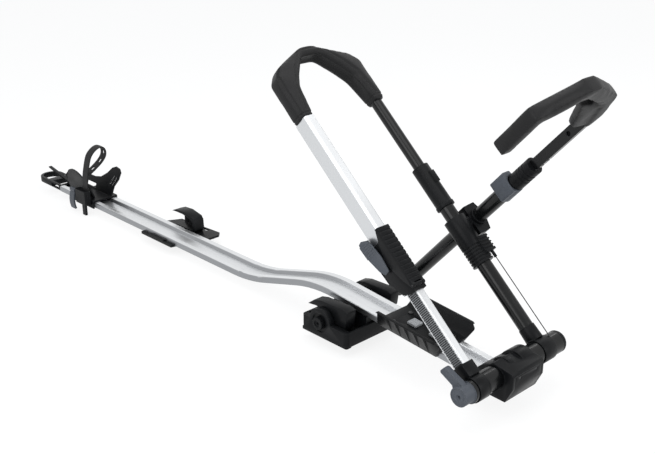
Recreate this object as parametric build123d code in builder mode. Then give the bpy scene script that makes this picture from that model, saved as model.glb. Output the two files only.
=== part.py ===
from build123d import *
import os
from math import cos, radians, sin, tan

# Roof bike carrier that holds the front wheel upright between a hoop and a hook.
# +X points forward to the hoop pivot, +Y to the far side, +Z up. The origin is on the
# underside of the front foot, below the middle of the rail.

os.makedirs("parts", exist_ok=True)

# Fits shared by every piece
sliding_gap = 0.3
turning_gap = 0.05
overrun = 5

# Rail: one extrusion with two hollow ridges, a low web and a T-slot underneath
rail_rear = 1140
rail_front = 362
rail_low_bend = 309
rail_high_bend = 91
rail_low_height = 4
rail_high_height = 66.5
rail_low_radius = 400
rail_high_radius = 320
nose_slope = 4.92
rail_width = 68
rail_height = 14
rail_wall = 2
ridge_round = 3
valley_height = 6
valley_width = 28
valley_mouth = 38
web_thickness = 1.8
slot_width = 26
slot_mouth = 18
slot_lip = 1.4

# Rear end cap and the prong that keeps the tail of the strap
cap_length = 133
cap_width = 66
cap_height = 15
cap_rim = 8
cap_lip = 3
cap_window_length = 40
cap_window_start = 10
cap_hole_length = 48
cap_tongue_length = 14
cap_fin_length = 56
cap_fin_height = 18
cap_fin_thickness = 9
prong_length = 104
prong_rise = 21
prong_width = 9
prong_root = 5
prong_tip = 3
prong_setback = 5

# Front foot: tub, rubber pad and the saddle that carries the rail
foot_length = 132
foot_near = 93
foot_far = 70
foot_height = 34
foot_wall = 5
foot_near_wall = 14
foot_floor = 5
foot_corner = 9
foot_pad_thickness = 2
foot_pad_inset = 3
foot_skirt = 17
knob_place = -12
knob_height = 32
knob_radius = 13.5
knob_length = 10
knob_face_radius = 8
knob_face_depth = 2
knob_socket_radius = 4
knob_socket_depth = 5
knob_grip_count = 10
knob_grip_radius = 1.2
knob_seat = 6
barrel_radius = 30
barrel_recess_radius = 21
barrel_recess_depth = 3
bush_wall = 3
spindle_radius = 5
spindle_length = 88
spindle_collar_radius = 9
spindle_collar_length = 3
saddle_rear = 56
saddle_front = 60
saddle_width = 60
saddle_shoulder = 30
saddle_window_rear = 28
saddle_window_front = 50
foot_bolt_radius = 3
foot_bolt_length = 20
foot_bolt_head = 6
foot_bolt_head_height = 2.2
foot_bolt_places = (-20, 40)

# Claw yoke, claws and the nut that draws them
yoke_rear = 6
yoke_front = 40
yoke_thickness = 6
yoke_height = 11
yoke_ear_rear = 27
yoke_ear_inner = 36
yoke_ear_outer = 74
claw_inner = 52
claw_outer = 77
claw_leg_outer = 60
claw_leg_rear = 12
claw_length = 116
claw_height = 53
claw_rear = 64
claw_foot = 31
claw_far_raise = 7
nut_length = 20
nut_width = 16
nut_height = 20
nut_place = 54
nut_pin_radius = 4
nut_slot_gap = 0.2
claw_travel_open = 8
claw_travel_close = 4
claw_travel_spare = 1

# Rear clamp: plate under the rail, T-slot nut and the claw beside the rail
clamp_rear = 746
clamp_front = 572
clamp_near = 42
clamp_far = 98
clamp_thickness = 3.6
clamp_edge_height = 9
clamp_far_height = 5.3
clamp_strip_rear = 727
clamp_strip_front = 600
clamp_step_length = 34
clamp_step_drop = 2.5
clamp_slot_length = 26
clamp_slot_width = 9
clamp_slot_place = 625
clamp_slot_side = 86
clamp_round = 12
clamp_nut_length = 100
clamp_nut_height = 2.3
clamp_screw_radius = 3
clamp_screw_head = 5
clamp_screw_head_height = 2
clamp_screw_spread = 36
clamp_middle = 668
claw_side = 45
claw_width = 30
claw_web = 6
hook_rear = 712
hook_front = 617
hook_top = 54
hook_wall = 7
hook_throat_rear = 692
hook_hole_radius = 3.5
hook_hole_heights = (17, 30)
hook_hole_place = 672
hook_travel = 15

# Rear wheel cradle, strap and buckle
cradle_rear = 1065
cradle_front = 960
cradle_side_wall = 4
cradle_floor = 3
cradle_deck = 4
wing_root = 17
wing_thickness = 4
near_wing_rear = 1100
near_wing_front = 980
near_wing_top = 95
near_wing_lean = 26
far_wing_rear = 1112
far_wing_front = 939
far_wing_top = 98
far_wing_lean = 30
far_wing_low = 46
wing_window_rear = 1085
wing_window_front = 1040
wing_window_low = 26
wing_window_high = 38
wing_slot_width = 4
wing_slot_length = 34
wing_slot_lean = 62
wing_slot_place = 972
wing_slot_height = 62
wing_slot_pitch = 13
strap_place = 985
strap_width = 26
strap_thickness = 3
strap_round = 9
strap_side = 43
strap_foot = 46
strap_reach = 66
strap_height = 117
strap_hole_width = 5
strap_hole_length = 9
buckle_rear = 1018
buckle_front = 966
buckle_top = 50
buckle_low = 12
buckle_depth = 19
buckle_round = 4
buckle_tail_width = 15
buckle_tail_place = 988
buckle_tail_drop = 33
buckle_tail_depth = 6
buckle_pin_radius = 2
buckle_pin_height = 41
lever_place = 1033
lever_width = 22
lever_low = -11
lever_thickness = 5
lever_boss = 6
lever_bow = 7

# Wheel tray on the nose of the rail
tray_rear = 96
tray_rear_top = 112
tray_front_top = 256
tray_front_tip = 268
tray_front_low = 252
tray_tip_height = 36
tray_round = 5
tray_top = 45
tray_foot_half = 36.5
tray_top_half = 59
tray_wall = 2.5
tray_floor = 3
tray_lip_out = 3
tray_lip_drop = 3
tray_rib_thickness = 2
tray_rib_count = 5
tray_pad_length = 28
tray_pad_width = 38
tray_pad_height = 5
tray_pad_first = 162
tray_pad_pitch = 56
tray_pad_count = 2
tray_screw_radius = 2.5
tray_screw_head = 5
tray_screw_head_height = 2
tray_screw_first = 128
tray_screw_pitch = 112
tray_screw_side = 26

# Hoop pivot: cross tube, its bushes, the housing and its front cover
hub_x = 394
hub_z = 59
hub_radius = 22
hub_bore = 17
hub_near = 121
hub_far = 140
hub_plug_length = 16
hub_plug_bore = 6
far_cap_length = 12
far_cap_round = 5
housing_half = 46
housing_rear = 340
housing_front = 435
housing_low = 18
housing_high = 88
housing_ring_radius = 31
housing_ring_width = 32
housing_ring_place = 26
housing_lobe_radius = 28.5
housing_lobe_width = 12
housing_lobe_place = -14
bush_length = 14
cover_thickness = 2.5
cover_half = 39
cover_screw_radius = 2.2
cover_screw_length = 7
cover_screw_side = 24
cover_screw_height = 66
cover_screw_sink = 0.4

# Release lever on the near end of the cross tube
hub_lever_length = 25
hub_lever_face = 13
hub_lever_bevel = 4
hub_lever_dish = 3
hub_lever_stub = 14
hub_lever_blade = 55
hub_lever_blade_root = 26
hub_lever_blade_tip = 17
hub_lever_blade_thickness = 15
hub_lever_lean = 128
hub_lever_hole = 3
hub_lever_round = 3

# Hoop legs
hoop_rise = 41.8
leg_side = 98
leg_foot = 22.5
outer_tube_depth = 39.5
outer_tube_width = 25.5
outer_tube_wall = 2.5
outer_tube_round = 6
outer_tube_foot = 205
inner_tube_depth = 31
inner_tube_width = 18
inner_tube_wall = 2
inner_tube_round = 3
inner_tube_top = 405
inner_tube_shift = 1
rack_width = 20
rack_base = 0.9
rack_tooth = 1.0
rack_first = 36
rack_count = 35
rack_pitch = 7.4
rack_land = 3.4
thick_tube_radius = 15
thick_tube_bore = 12.5
thick_tube_top = 340
thin_tube_radius = 12
thin_tube_wall = 1.8
thin_tube_foot = 170
far_collar_foot = 328
far_collar_top = 425
far_collar_radius = 18
far_collar_lip = 1.5
far_collar_lip_length = 8
far_clip_length = 26
far_clip_width = 12
far_clip_rise = 5
far_clip_place = 392
leg_clamp_radius = 26
leg_clamp_height = 30
leg_clamp_width = 30
leg_clamp_low = 22
leg_clamp_high = 36
leg_socket_radius = 19
leg_socket_height = 46
leg_screw_radius = 2.2
leg_screw_length = 9
leg_screw_near = 26.2
leg_screw_far = 36
leg_screw_tip = 110.6
cable_radius = 1
cable_side = 116
cable_offset = 20
cable_foot = 2
cable_top = 236

# Hoop pad
pad_outer_half = 113
pad_limb = 590
pad_shoulder = 686
pad_corner = 708
pad_corner_half = 94
pad_apex = 744
pad_apex_half = 14
pad_near_inner = 83
pad_far_inner = 86
pad_waist = 656
pad_waist_half = 70
pad_bend = 682
pad_bend_half = 54
pad_inner_apex = 721
pad_inner_apex_half = 24
pad_half_depth = 20
pad_round = 5
pad_bend_radius = 9
pad_spigot = 30

# Ratchet on the near leg, with its pump handle and release lever
ratchet_foot = 198
ratchet_top = 310
ratchet_near = 115.5
ratchet_far = 84
ratchet_high = 20.8
ratchet_low = 30
ratchet_slot_start = 248
handle_top = 331
handle_near = 119
handle_far = 88
handle_high = 28.7
handle_low = 21.2
handle_wall = 2.5
handle_pivot = 208
handle_pivot_height = 25.5
handle_boss = 4.3
handle_pin_radius = 2
handle_cheek = 3
handle_cheek_low = 0.7
handle_rib_count = 12
handle_rib_groove = 2.5
handle_rib_depth = 1.2
lug_radius = 4
lug_near = 112
lug_far = 95
lug_gap = 0.5
release_pivot = 260
release_pivot_depth = 26
release_top = 332
release_deep = 42
release_width = 20
release_pin_radius = 2
release_boss = 5
release_rib_count = 5
release_rib_pitch = 6
release_rib_depth = 1.2

# Bracket on the far leg and the hook arm that turns on it
bracket_foot = 196
bracket_top = 300
bracket_radius = 22.5
bracket_groove_count = 6
bracket_groove_depth = 2
bracket_groove_width = 3
bracket_groove_pitch = 6.5
louvre_foot = 208
louvre_top = 243
louvre_side = 121
louvre_inner = 95
louvre_high = 29
louvre_count = 4
louvre_depth = 3
louvre_width = 4
ferrule_radius = 3.2
ferrule_length = 14
arm_t = 283
arm_side = 143
arm_radius = 15
arm_wall = 2
arm_foot = 290
arm_top = 190
arm_boss_radius = 15
arm_boss_side = 124.2
arm_bolt_radius = 5
arm_bolt_head = 8
arm_bolt_head_height = 3
arm_bolt_root = 115
arm_bolt_seat = 133.1
sleeve_inner = 124.5
sleeve_outer = 165
sleeve_half = 33
sleeve_foot = 16
sleeve_top = 14
sleeve_ring_radius = 18
sleeve_ring_length = 8
arm_cap_length = 4
arm_cap_plug = 12
collar_foot = 143
collar_top = 198
collar_radius = 17.5
collar_groove_count = 3
collar_groove_pitch = 9
collar_groove = 1.2
button_foot = 100
button_top = 139
button_wall = 3
button_stroke = 3
button_pad = 27
button_pad_width = 24
button_round = 4
button_pin_radius = 2.5
bar_depth = 21
bar_width = 11
bar_foot = 60
bar_top = 368
bar_hole_radius = 5
bar_hole_place = 301
bar_notch_count = 8
bar_notch_pitch = 16
bar_notch_radius = 2

# Hook pad
hook_half_depth = 13
hook_tip = 345
hook_near = 112
hook_knee = 441
hook_corner = 487
hook_corner_half = 14
hook_far_knee = 478
hook_far_knee_side = 36
hook_end = 372
hook_far = 157
hook_band = 29
hook_round = 5
hook_web = 338
hook_web_half = 8

# Frames that the sloping pieces are drawn in
nose_angle = radians(nose_slope)
nose_along = Vector(cos(nose_angle), 0, -sin(nose_angle))
nose_up = Vector(sin(nose_angle), 0, cos(nose_angle))
across = Vector(0, 1, 0)
hoop_angle = radians(hoop_rise)
hub = Vector(hub_x, 0, hub_z)
up_leg = Vector(-cos(hoop_angle), 0, sin(hoop_angle))
along_arm = Vector(sin(hoop_angle), 0, cos(hoop_angle))


def nose_point(x):
    """Underside of the rail at a place on its sloping nose."""
    return Vector(x, 0, rail_high_height - (x + rail_high_bend) * tan(nose_angle))


def nose_section(x):
    """Section across the nose: x to the far side, y up from the rail's underside."""
    return Plane(origin=nose_point(x), x_dir=across, z_dir=nose_along)


def nose_side(y):
    """Side view of the nose: x along it from the tray's rear foot, y up from its underside."""
    return Plane(origin=nose_point(tray_rear) + across * y, x_dir=nose_along, z_dir=-across)


def side_plane(y):
    """Side view of the hoop: x runs up the leg, y along the arm, normal to the far side."""
    return Plane(origin=hub + across * y, x_dir=up_leg, z_dir=across)


def leg_section(t, y):
    """Section of a leg: x runs along the arm, y to the far side, normal up the leg."""
    return Plane(origin=hub + up_leg * t + across * y, x_dir=along_arm, z_dir=up_leg)


def arm_section(n):
    """Section of the arm: x to the far side, y up the leg, normal along the arm."""
    origin = hub + up_leg * arm_t + across * arm_side + along_arm * n
    return Plane(origin=origin, x_dir=across, z_dir=along_arm)


def hoop_face(n):
    """Hoop seen along the arm: x up the leg, y to the far side."""
    return Plane(origin=hub + along_arm * n, x_dir=up_leg, z_dir=-along_arm)


def placed(shares, corner, size):
    """Points of an outline given as shares of a width and a height from one corner."""
    return [(corner[0] + across_share * size[0], corner[1] + up_share * size[1])
            for across_share, up_share in shares]


def finish(piece, name):
    """Label the finished piece and write it."""
    piece.part.label = name
    export_step(piece.part, "parts/" + name + ".step")


# Rail
rail_corners = [
    (-rail_rear, rail_low_height),
    (-rail_low_bend, rail_low_height),
    (-rail_high_bend, rail_high_height),
    (rail_front, nose_point(rail_front).Z),
]
rail_half = rail_width / 2
ridge_inner = slot_width / 2 + rail_wall
ridge_outer = rail_half - rail_wall
ridge_top_inner = valley_mouth / 2 + rail_wall

with BuildPart() as rail:
    with BuildLine(Plane.XZ) as rail_path:
        FilletPolyline(*rail_corners, radius=[rail_low_radius, rail_high_radius])
    with BuildSketch(Plane(origin=rail_path.line @ 0, x_dir=(0, 1, 0), z_dir=(1, 0, 0))):
        with BuildLine():
            Polyline(
                (0, valley_height - web_thickness),
                (slot_width / 2, valley_height - web_thickness),
                (slot_width / 2, slot_lip),
                (slot_mouth / 2, slot_lip),
                (slot_mouth / 2, 0),
                (rail_half, 0),
                (rail_half, rail_height),
                (valley_mouth / 2, rail_height),
                (valley_width / 2, valley_height),
                (0, valley_height),
                close=True,
            )
        make_face()
        fillet(vertices().group_by(Axis.Y)[-1], ridge_round)
        with BuildLine():
            Polyline(
                (ridge_inner, rail_wall),
                (ridge_outer, rail_wall),
                (ridge_outer, rail_height - rail_wall),
                (ridge_top_inner, rail_height - rail_wall),
                close=True,
            )
        make_face(mode=Mode.SUBTRACT)
        mirror(about=Plane.YZ)
    sweep(path=rail_path.line)
    for index in range(tray_pad_count):
        for side in (-tray_screw_side, tray_screw_side):
            ridge_spot = nose_point(tray_screw_first + tray_screw_pitch * index) + nose_up * rail_height
            with BuildSketch(Plane(origin=ridge_spot + across * side, x_dir=across, z_dir=-nose_up)):
                Circle(tray_screw_radius)
            extrude(amount=rail_wall, mode=Mode.SUBTRACT)
finish(rail, "rail")

# Rear end cap with its D hole, window and low fin; two tongues plug into the ridges
cap_end = -rail_rear - cap_length
cap_round = cap_width / 2
cap_inner = cap_round - cap_rim
cap_arc = cap_end + cap_round
hole_front = cap_end + cap_rim + cap_hole_length
cap_deck = rail_low_height + cap_height
window_middle = -rail_rear - cap_window_start - cap_window_length / 2
fin_middle = -rail_rear - cap_window_start - cap_fin_length / 2
tongue_side = (ridge_outer + ridge_top_inner) / 2
tongue_width = ridge_outer - ridge_top_inner - 2 * sliding_gap
tongue_height = rail_height - 2 * rail_wall - 2 * sliding_gap

with BuildPart() as end_cap:
    with BuildSketch(Plane.XY.offset(rail_low_height)):
        with BuildLine():
            Polyline((cap_arc, -cap_round), (-rail_rear, -cap_round), (-rail_rear, cap_round), (cap_arc, cap_round))
            ThreePointArc((cap_arc, cap_round), (cap_end, 0), (cap_arc, -cap_round))
        make_face()
        with BuildLine():
            Polyline((cap_arc, -cap_inner), (hole_front, -cap_inner), (hole_front, cap_inner), (cap_arc, cap_inner))
            ThreePointArc((cap_arc, cap_inner), (cap_end + cap_rim, 0), (cap_arc, -cap_inner))
        make_face(mode=Mode.SUBTRACT)
        with Locations((window_middle, -cap_rim / 2)):
            Rectangle(cap_window_length, 2 * cap_inner - cap_rim, mode=Mode.SUBTRACT)
    extrude(amount=cap_height)
    with BuildSketch(Plane.XZ.offset(-cap_round)):
        with Locations((fin_middle, cap_deck)):
            Ellipse(cap_fin_length / 2, cap_fin_height)
            Rectangle(cap_fin_length, cap_fin_height, align=(Align.CENTER, Align.MAX), mode=Mode.SUBTRACT)
    extrude(amount=cap_fin_thickness)
    with BuildSketch(Plane.XZ.offset(cap_round)):
        with Locations((window_middle, rail_low_height + cap_height / 2)):
            Rectangle(cap_window_length, cap_height - 2 * cap_lip)
    extrude(amount=-cap_rim, mode=Mode.SUBTRACT)
    with BuildSketch(Plane.YZ.offset(-rail_rear)):
        with Locations(
            (tongue_side, rail_low_height + rail_height / 2), (-tongue_side, rail_low_height + rail_height / 2)
        ):
            Rectangle(tongue_width, tongue_height)
    extrude(amount=cap_tongue_length)
finish(end_cap, "end_cap")

# Slender prong that keeps the tail of the strap
prong_x = -rail_rear - prong_setback

with BuildPart() as strap_keeper:
    with BuildSketch(Plane.XZ.offset(-prong_width / 2)):
        with BuildLine():
            Polyline(
                (prong_x + prong_root, cap_deck),
                (prong_x + prong_root, cap_deck + prong_root),
                (prong_x - prong_length, cap_deck + prong_rise + prong_tip),
                (prong_x - prong_length, cap_deck + prong_rise),
                (prong_x - prong_root, cap_deck),
                close=True,
            )
        make_face()
    extrude(amount=prong_width)
finish(strap_keeper, "strap_keeper")

# Front foot tub: thick near wall with the round barrel that houses the knob
foot_width = foot_far + foot_near
foot_middle = (foot_far - foot_near) / 2
tub_near = -foot_near + foot_near_wall
tub_far = foot_far - foot_wall

with BuildPart() as foot_base:
    with BuildSketch(Plane.XY.offset(foot_pad_thickness)):
        with Locations((0, foot_middle)):
            RectangleRounded(foot_length, foot_width, foot_corner)
    extrude(amount=foot_height - foot_pad_thickness)
    with BuildSketch(Plane.XY.offset(foot_floor)):
        with Locations((0, (tub_near + tub_far) / 2)):
            RectangleRounded(foot_length - 2 * foot_wall, tub_far - tub_near, foot_corner - foot_wall)
    extrude(amount=foot_height, mode=Mode.SUBTRACT)
    with BuildSketch(Plane.XY):
        with Locations((0, -foot_near + foot_skirt / 2)):
            RectangleRounded(foot_length, foot_skirt, foot_corner / 2)
    extrude(amount=foot_floor)
    with BuildSketch(Plane.XZ.offset(foot_near)):
        with Locations((knob_place, knob_height)):
            Circle(barrel_radius)
        with Locations((knob_place, 0)):
            Rectangle(2 * barrel_radius, foot_floor + overrun, align=(Align.CENTER, Align.MAX), mode=Mode.SUBTRACT)
    extrude(amount=-foot_near_wall)
    with BuildSketch(Plane.XZ.offset(foot_near)):
        with Locations((knob_place, knob_height)):
            Circle(barrel_recess_radius)
    extrude(amount=-barrel_recess_depth, mode=Mode.SUBTRACT)
    with BuildSketch(Plane.XZ.offset(foot_near)):
        with Locations((knob_place, knob_height)):
            Circle(spindle_radius + bush_wall)
    extrude(amount=-foot_near_wall - overrun, mode=Mode.SUBTRACT)
finish(foot_base, "foot_base")

pad_near = -foot_near + foot_skirt
pad_far = foot_far - foot_pad_inset

with BuildPart() as foot_pad:
    with BuildSketch(Plane.XY):
        with Locations((0, (pad_near + pad_far) / 2)):
            RectangleRounded(foot_length - 2 * foot_pad_inset, pad_far - pad_near, foot_corner / 2)
    extrude(amount=foot_pad_thickness)
finish(foot_pad, "foot_pad")

with BuildPart() as knob_bush:
    with BuildSketch(Plane.XZ.offset(foot_near - barrel_recess_depth)):
        with Locations((knob_place, knob_height)):
            Circle(spindle_radius + bush_wall)
            Circle(spindle_radius + turning_gap, mode=Mode.SUBTRACT)
    extrude(amount=-(foot_near_wall - barrel_recess_depth))
finish(knob_bush, "knob_bush")

# Saddle between the tub floor and the rail; the claw yoke slides through its window
saddle_top = [
    (saddle_front, nose_point(saddle_front).Z),
    (-saddle_shoulder, nose_point(-saddle_shoulder).Z),
    (-saddle_rear, foot_height + foot_floor),
]

with BuildPart() as foot_saddle:
    with BuildSketch(Plane.XZ.offset(-saddle_width / 2)):
        with BuildLine():
            Polyline((-saddle_rear, foot_floor), (saddle_front, foot_floor), *saddle_top, close=True)
        make_face()
        with Locations(((saddle_window_front - saddle_window_rear) / 2, yoke_height + yoke_thickness / 2)):
            Rectangle(
                saddle_window_front + saddle_window_rear, yoke_thickness + 2 * sliding_gap, mode=Mode.SUBTRACT
            )
    extrude(amount=saddle_width)
    with BuildSketch(Plane.XZ.offset(saddle_width / 2)):
        with Locations((knob_place, knob_height)):
            Circle(spindle_radius + turning_gap)
    extrude(amount=-saddle_width / 2, mode=Mode.SUBTRACT)
    for place in foot_bolt_places:
        with BuildSketch(Plane(origin=nose_point(place), x_dir=across, z_dir=-nose_up)):
            Circle(foot_bolt_radius)
        extrude(amount=foot_bolt_length, mode=Mode.SUBTRACT)
finish(foot_saddle, "foot_saddle")

with BuildPart() as foot_bolts:
    for place in foot_bolt_places:
        head_seat = nose_point(place) + nose_up * (slot_lip + sliding_gap)
        with BuildSketch(Plane(origin=head_seat, x_dir=across, z_dir=nose_up)):
            RegularPolygon(foot_bolt_head, 6)
        extrude(amount=foot_bolt_head_height)
        with BuildSketch(Plane(origin=head_seat, x_dir=across, z_dir=-nose_up)):
            Circle(foot_bolt_radius)
        extrude(amount=foot_bolt_length + slot_lip)
finish(foot_bolts, "foot_bolts")

# Knob, its spindle and the nut that the spindle's thread moves along Y
knob_back = foot_near - barrel_recess_depth + sliding_gap
knob_front = knob_back + knob_length

with BuildPart() as foot_knob:
    with BuildSketch(Plane.XZ.offset(knob_back)):
        with Locations((knob_place, knob_height)):
            Circle(knob_radius)
            with PolarLocations(knob_radius, knob_grip_count):
                Circle(knob_grip_radius, mode=Mode.SUBTRACT)
    extrude(amount=knob_length)
    with BuildSketch(Plane.XZ.offset(knob_front)):
        with Locations((knob_place, knob_height)):
            Circle(knob_face_radius)
    extrude(amount=-knob_face_depth, mode=Mode.SUBTRACT)
    with BuildSketch(Plane.XZ.offset(knob_front)):
        with Locations((knob_place, knob_height)):
            RegularPolygon(knob_socket_radius, 6)
    extrude(amount=-knob_socket_depth, mode=Mode.SUBTRACT)
    with BuildSketch(Plane.XZ.offset(knob_back)):
        with Locations((knob_place, knob_height)):
            Circle(spindle_radius)
    extrude(amount=knob_seat / 2, mode=Mode.SUBTRACT)
finish(foot_knob, "foot_knob")

with BuildPart() as knob_spindle:
    with BuildSketch(Plane.XZ.offset(knob_back + knob_seat / 2)):
        with Locations((knob_place, knob_height)):
            Circle(spindle_radius)
    extrude(amount=-spindle_length)
    with BuildSketch(Plane.XZ.offset(-tub_near - sliding_gap)):
        with Locations((knob_place, knob_height)):
            Circle(spindle_collar_radius)
    extrude(amount=-spindle_collar_length)
finish(knob_spindle, "knob_spindle")

with BuildPart() as knob_nut:
    with BuildSketch(Plane.XZ.offset(nut_place + nut_width / 2)):
        with Locations((knob_place, knob_height)):
            Rectangle(nut_length, nut_height)
            Circle(spindle_radius + turning_gap, mode=Mode.SUBTRACT)
    extrude(amount=-nut_width)
    with BuildSketch(Plane.XY.offset(yoke_height - sliding_gap)):
        with Locations((knob_place, -nut_place)):
            Circle(nut_pin_radius)
    extrude(amount=knob_height - nut_height / 2 - yoke_height + sliding_gap)
finish(knob_nut, "knob_nut")

# Yoke under the saddle: the nut's pin rides in its slanted slot and draws it along X
slot_shift = (claw_travel_open - claw_travel_close) / 2
slot_run = (claw_travel_open + claw_travel_close) / cos(radians(45)) + claw_travel_spare
ear_length = yoke_ear_rear + yoke_front

with BuildPart() as claw_yoke:
    with BuildSketch(Plane.XY.offset(yoke_height)):
        with Locations(((yoke_front - yoke_rear) / 2, 0)):
            Rectangle(yoke_front + yoke_rear, 2 * claw_leg_outer)
        with Locations(((yoke_front - yoke_ear_rear) / 2, -(yoke_ear_inner + yoke_ear_outer) / 2)):
            Rectangle(ear_length, yoke_ear_outer - yoke_ear_inner)
        with Locations(Location((knob_place - slot_shift, -nut_place + slot_shift), 135)):
            SlotCenterToCenter(slot_run, 2 * (nut_pin_radius + nut_slot_gap), mode=Mode.SUBTRACT)
    extrude(amount=yoke_thickness)
finish(claw_yoke, "claw_yoke")

# The two mirrored claws: a thin lip to the rear, a thick wall in front, a leg to the yoke
claw_shares = [
    (0, 0.415), (0.16, 0.68), (0.32, 0.77), (0.9, 0.82), (1, 0.74), (0.95, 0),
    (0.64, 0), (0.62, 0.17), (0.52, 0.40), (0.21, 0.47),
]
yoke_top = yoke_height + yoke_thickness

for name, side, base in (("front_claw_near", -1, 0), ("front_claw_far", 1, claw_far_raise)):
    with BuildPart() as front_claw:
        with BuildSketch(Plane.XZ.offset(-side * claw_inner)):
            with BuildLine():
                Polyline(*placed(claw_shares, (-claw_rear, claw_foot), (claw_length, claw_height)), close=True)
            make_face()
            with Locations((0, claw_foot - overrun)):
                Rectangle(2 * claw_length, base + overrun, align=(Align.CENTER, Align.MIN), mode=Mode.SUBTRACT)
        extrude(amount=-side * (claw_outer - claw_inner))
        with BuildSketch(Plane.XY.offset(yoke_top)):
            with Locations(((claw_leg_rear + yoke_front) / 2, side * (claw_leg_outer + claw_inner) / 2)):
                Rectangle(yoke_front - claw_leg_rear, claw_leg_outer - claw_inner)
        extrude(amount=claw_foot + base + foot_wall - yoke_top)
    finish(front_claw, name)

# Rear clamp plate under the rail, with raised edges on both sides of it
clamp_outline = [
    (-clamp_strip_rear, -clamp_near),
    (-clamp_strip_front, -clamp_near),
    (-clamp_front - clamp_round, rail_half),
    (-clamp_front, rail_half + clamp_round),
    (-clamp_front, clamp_far - clamp_round),
    (-clamp_front - clamp_round, clamp_far),
    (-clamp_strip_rear, clamp_far - clamp_round),
    (-clamp_rear, rail_half + clamp_round),
]
clamp_edge_width = clamp_near - rail_half - sliding_gap
clamp_length = clamp_strip_rear - clamp_strip_front

with BuildPart() as clamp_plate:
    with BuildSketch(Plane.XY):
        with BuildLine():
            Polyline(*clamp_outline, close=True)
        make_face()
    extrude(amount=clamp_far_height)
    with BuildSketch(Plane.XY.offset(clamp_thickness)):
        with Locations((-clamp_middle, 0)):
            Rectangle(2 * clamp_length, 2 * (rail_half + sliding_gap))
    extrude(amount=clamp_edge_height, mode=Mode.SUBTRACT)
    with BuildSketch(Plane.XY):
        with Locations((-(clamp_strip_rear + clamp_strip_front) / 2, -clamp_near)):
            Rectangle(clamp_length, clamp_edge_width, align=(Align.CENTER, Align.MIN))
    extrude(amount=clamp_edge_height)
    with BuildSketch(Plane.XZ.offset(clamp_near)):
        with GridLocations(clamp_length - clamp_step_length, 0, 2, 1):
            with Locations((-(clamp_strip_rear + clamp_strip_front) / 2, clamp_edge_height)):
                Rectangle(clamp_step_length, clamp_step_drop, align=(Align.CENTER, Align.MAX))
    extrude(amount=-clamp_edge_width, mode=Mode.SUBTRACT)
    with BuildSketch(Plane.XY):
        with Locations((-clamp_slot_place, clamp_slot_side)):
            SlotOverall(clamp_slot_length, clamp_slot_width)
        with Locations((-clamp_middle, 0)):
            with GridLocations(clamp_screw_spread * 2, 0, 2, 1):
                Circle(clamp_screw_radius)
    extrude(amount=clamp_edge_height, mode=Mode.SUBTRACT)
    with BuildSketch(Plane.XY):
        with Locations((-clamp_middle, 0)):
            with GridLocations(clamp_screw_spread * 2, 0, 2, 1):
                Circle(clamp_screw_head)
    extrude(amount=clamp_screw_head_height, mode=Mode.SUBTRACT)
finish(clamp_plate, "clamp_plate")

clamp_nut_base = rail_low_height + slot_lip + sliding_gap / 2

with BuildPart() as clamp_nut:
    with BuildSketch(Plane.XY.offset(clamp_nut_base)):
        with Locations((-clamp_middle, 0)):
            Rectangle(clamp_nut_length, slot_width - 2 * sliding_gap)
            with GridLocations(clamp_screw_spread * 2, 0, 2, 1):
                Circle(clamp_screw_radius, mode=Mode.SUBTRACT)
    extrude(amount=clamp_nut_height)
finish(clamp_nut, "clamp_nut")

with BuildPart() as clamp_screws:
    with BuildSketch(Plane.XY.offset(sliding_gap)):
        with Locations((-clamp_middle, 0)):
            with GridLocations(clamp_screw_spread * 2, 0, 2, 1):
                Circle(clamp_screw_head)
    extrude(amount=clamp_screw_head_height - sliding_gap)
    with BuildSketch(Plane.XY.offset(clamp_screw_head_height)):
        with Locations((-clamp_middle, 0)):
            with GridLocations(clamp_screw_spread * 2, 0, 2, 1):
                Circle(clamp_screw_radius)
    extrude(amount=clamp_nut_base + clamp_nut_height - clamp_screw_head_height)
finish(clamp_screws, "clamp_screws")

# Rear claw: C-shaped hook open to the rear, with a web on its far side
hook_length = hook_rear - hook_front
hook_base = clamp_far_height + sliding_gap
hook_height = hook_top - hook_base
hook_shares = [
    (0.18, 0), (0.92, 0), (1, 0.18), (0.98, 0.70), (0.91, 0.86), (0.53, 1), (0.2, 0.95), (0, 0.80),
    (0.16, 0.83), (0.49, 0.84), (0.81, 0.71), (0.90, 0.60), (0.92, 0.24), (0.86, 0.13), (0.18, 0.13),
]

with BuildPart() as rear_claw:
    with BuildSketch(Plane.XZ.offset(-claw_side)):
        with BuildLine():
            Polyline(*placed(hook_shares, (-hook_rear, hook_base), (hook_length, hook_height)), close=True)
        make_face()
    extrude(amount=-claw_width)
    with BuildSketch(Plane.XZ.offset(-claw_side - claw_width)):
        with Locations((-hook_throat_rear, hook_base)):
            Rectangle(
                hook_throat_rear - hook_front - hook_wall, hook_height - hook_wall, align=(Align.MIN, Align.MIN)
            )
        with Locations(*[(-hook_hole_place, height) for height in hook_hole_heights]):
            Circle(hook_hole_radius, mode=Mode.SUBTRACT)
    extrude(amount=claw_web)
finish(rear_claw, "rear_claw")

# Wheel cradle: a sleeve round the rail that carries two leaning wings
sleeve_half_width = rail_half + sliding_gap + cradle_side_wall
sleeve_bottom = rail_low_height - sliding_gap - cradle_floor
rail_top = rail_low_height + rail_height
deck_top = rail_top + sliding_gap + cradle_deck
far_wing_length = far_wing_rear - far_wing_front
far_wing_height = far_wing_top - rail_top
far_wing_shares = [
    (0, 0), (0, 0.30), (0.06, 0.38), (0.16, 0.42), (0.32, 0.42), (0.50, 0.50), (0.66, 0.72),
    (0.76, 0.93), (0.84, 1), (0.95, 0.97), (1, 0.86), (0.98, 0.62), (0.90, 0.36), (0.88, 0),
]
near_wing_length = near_wing_rear - near_wing_front
near_wing_height = near_wing_top - rail_top

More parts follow.
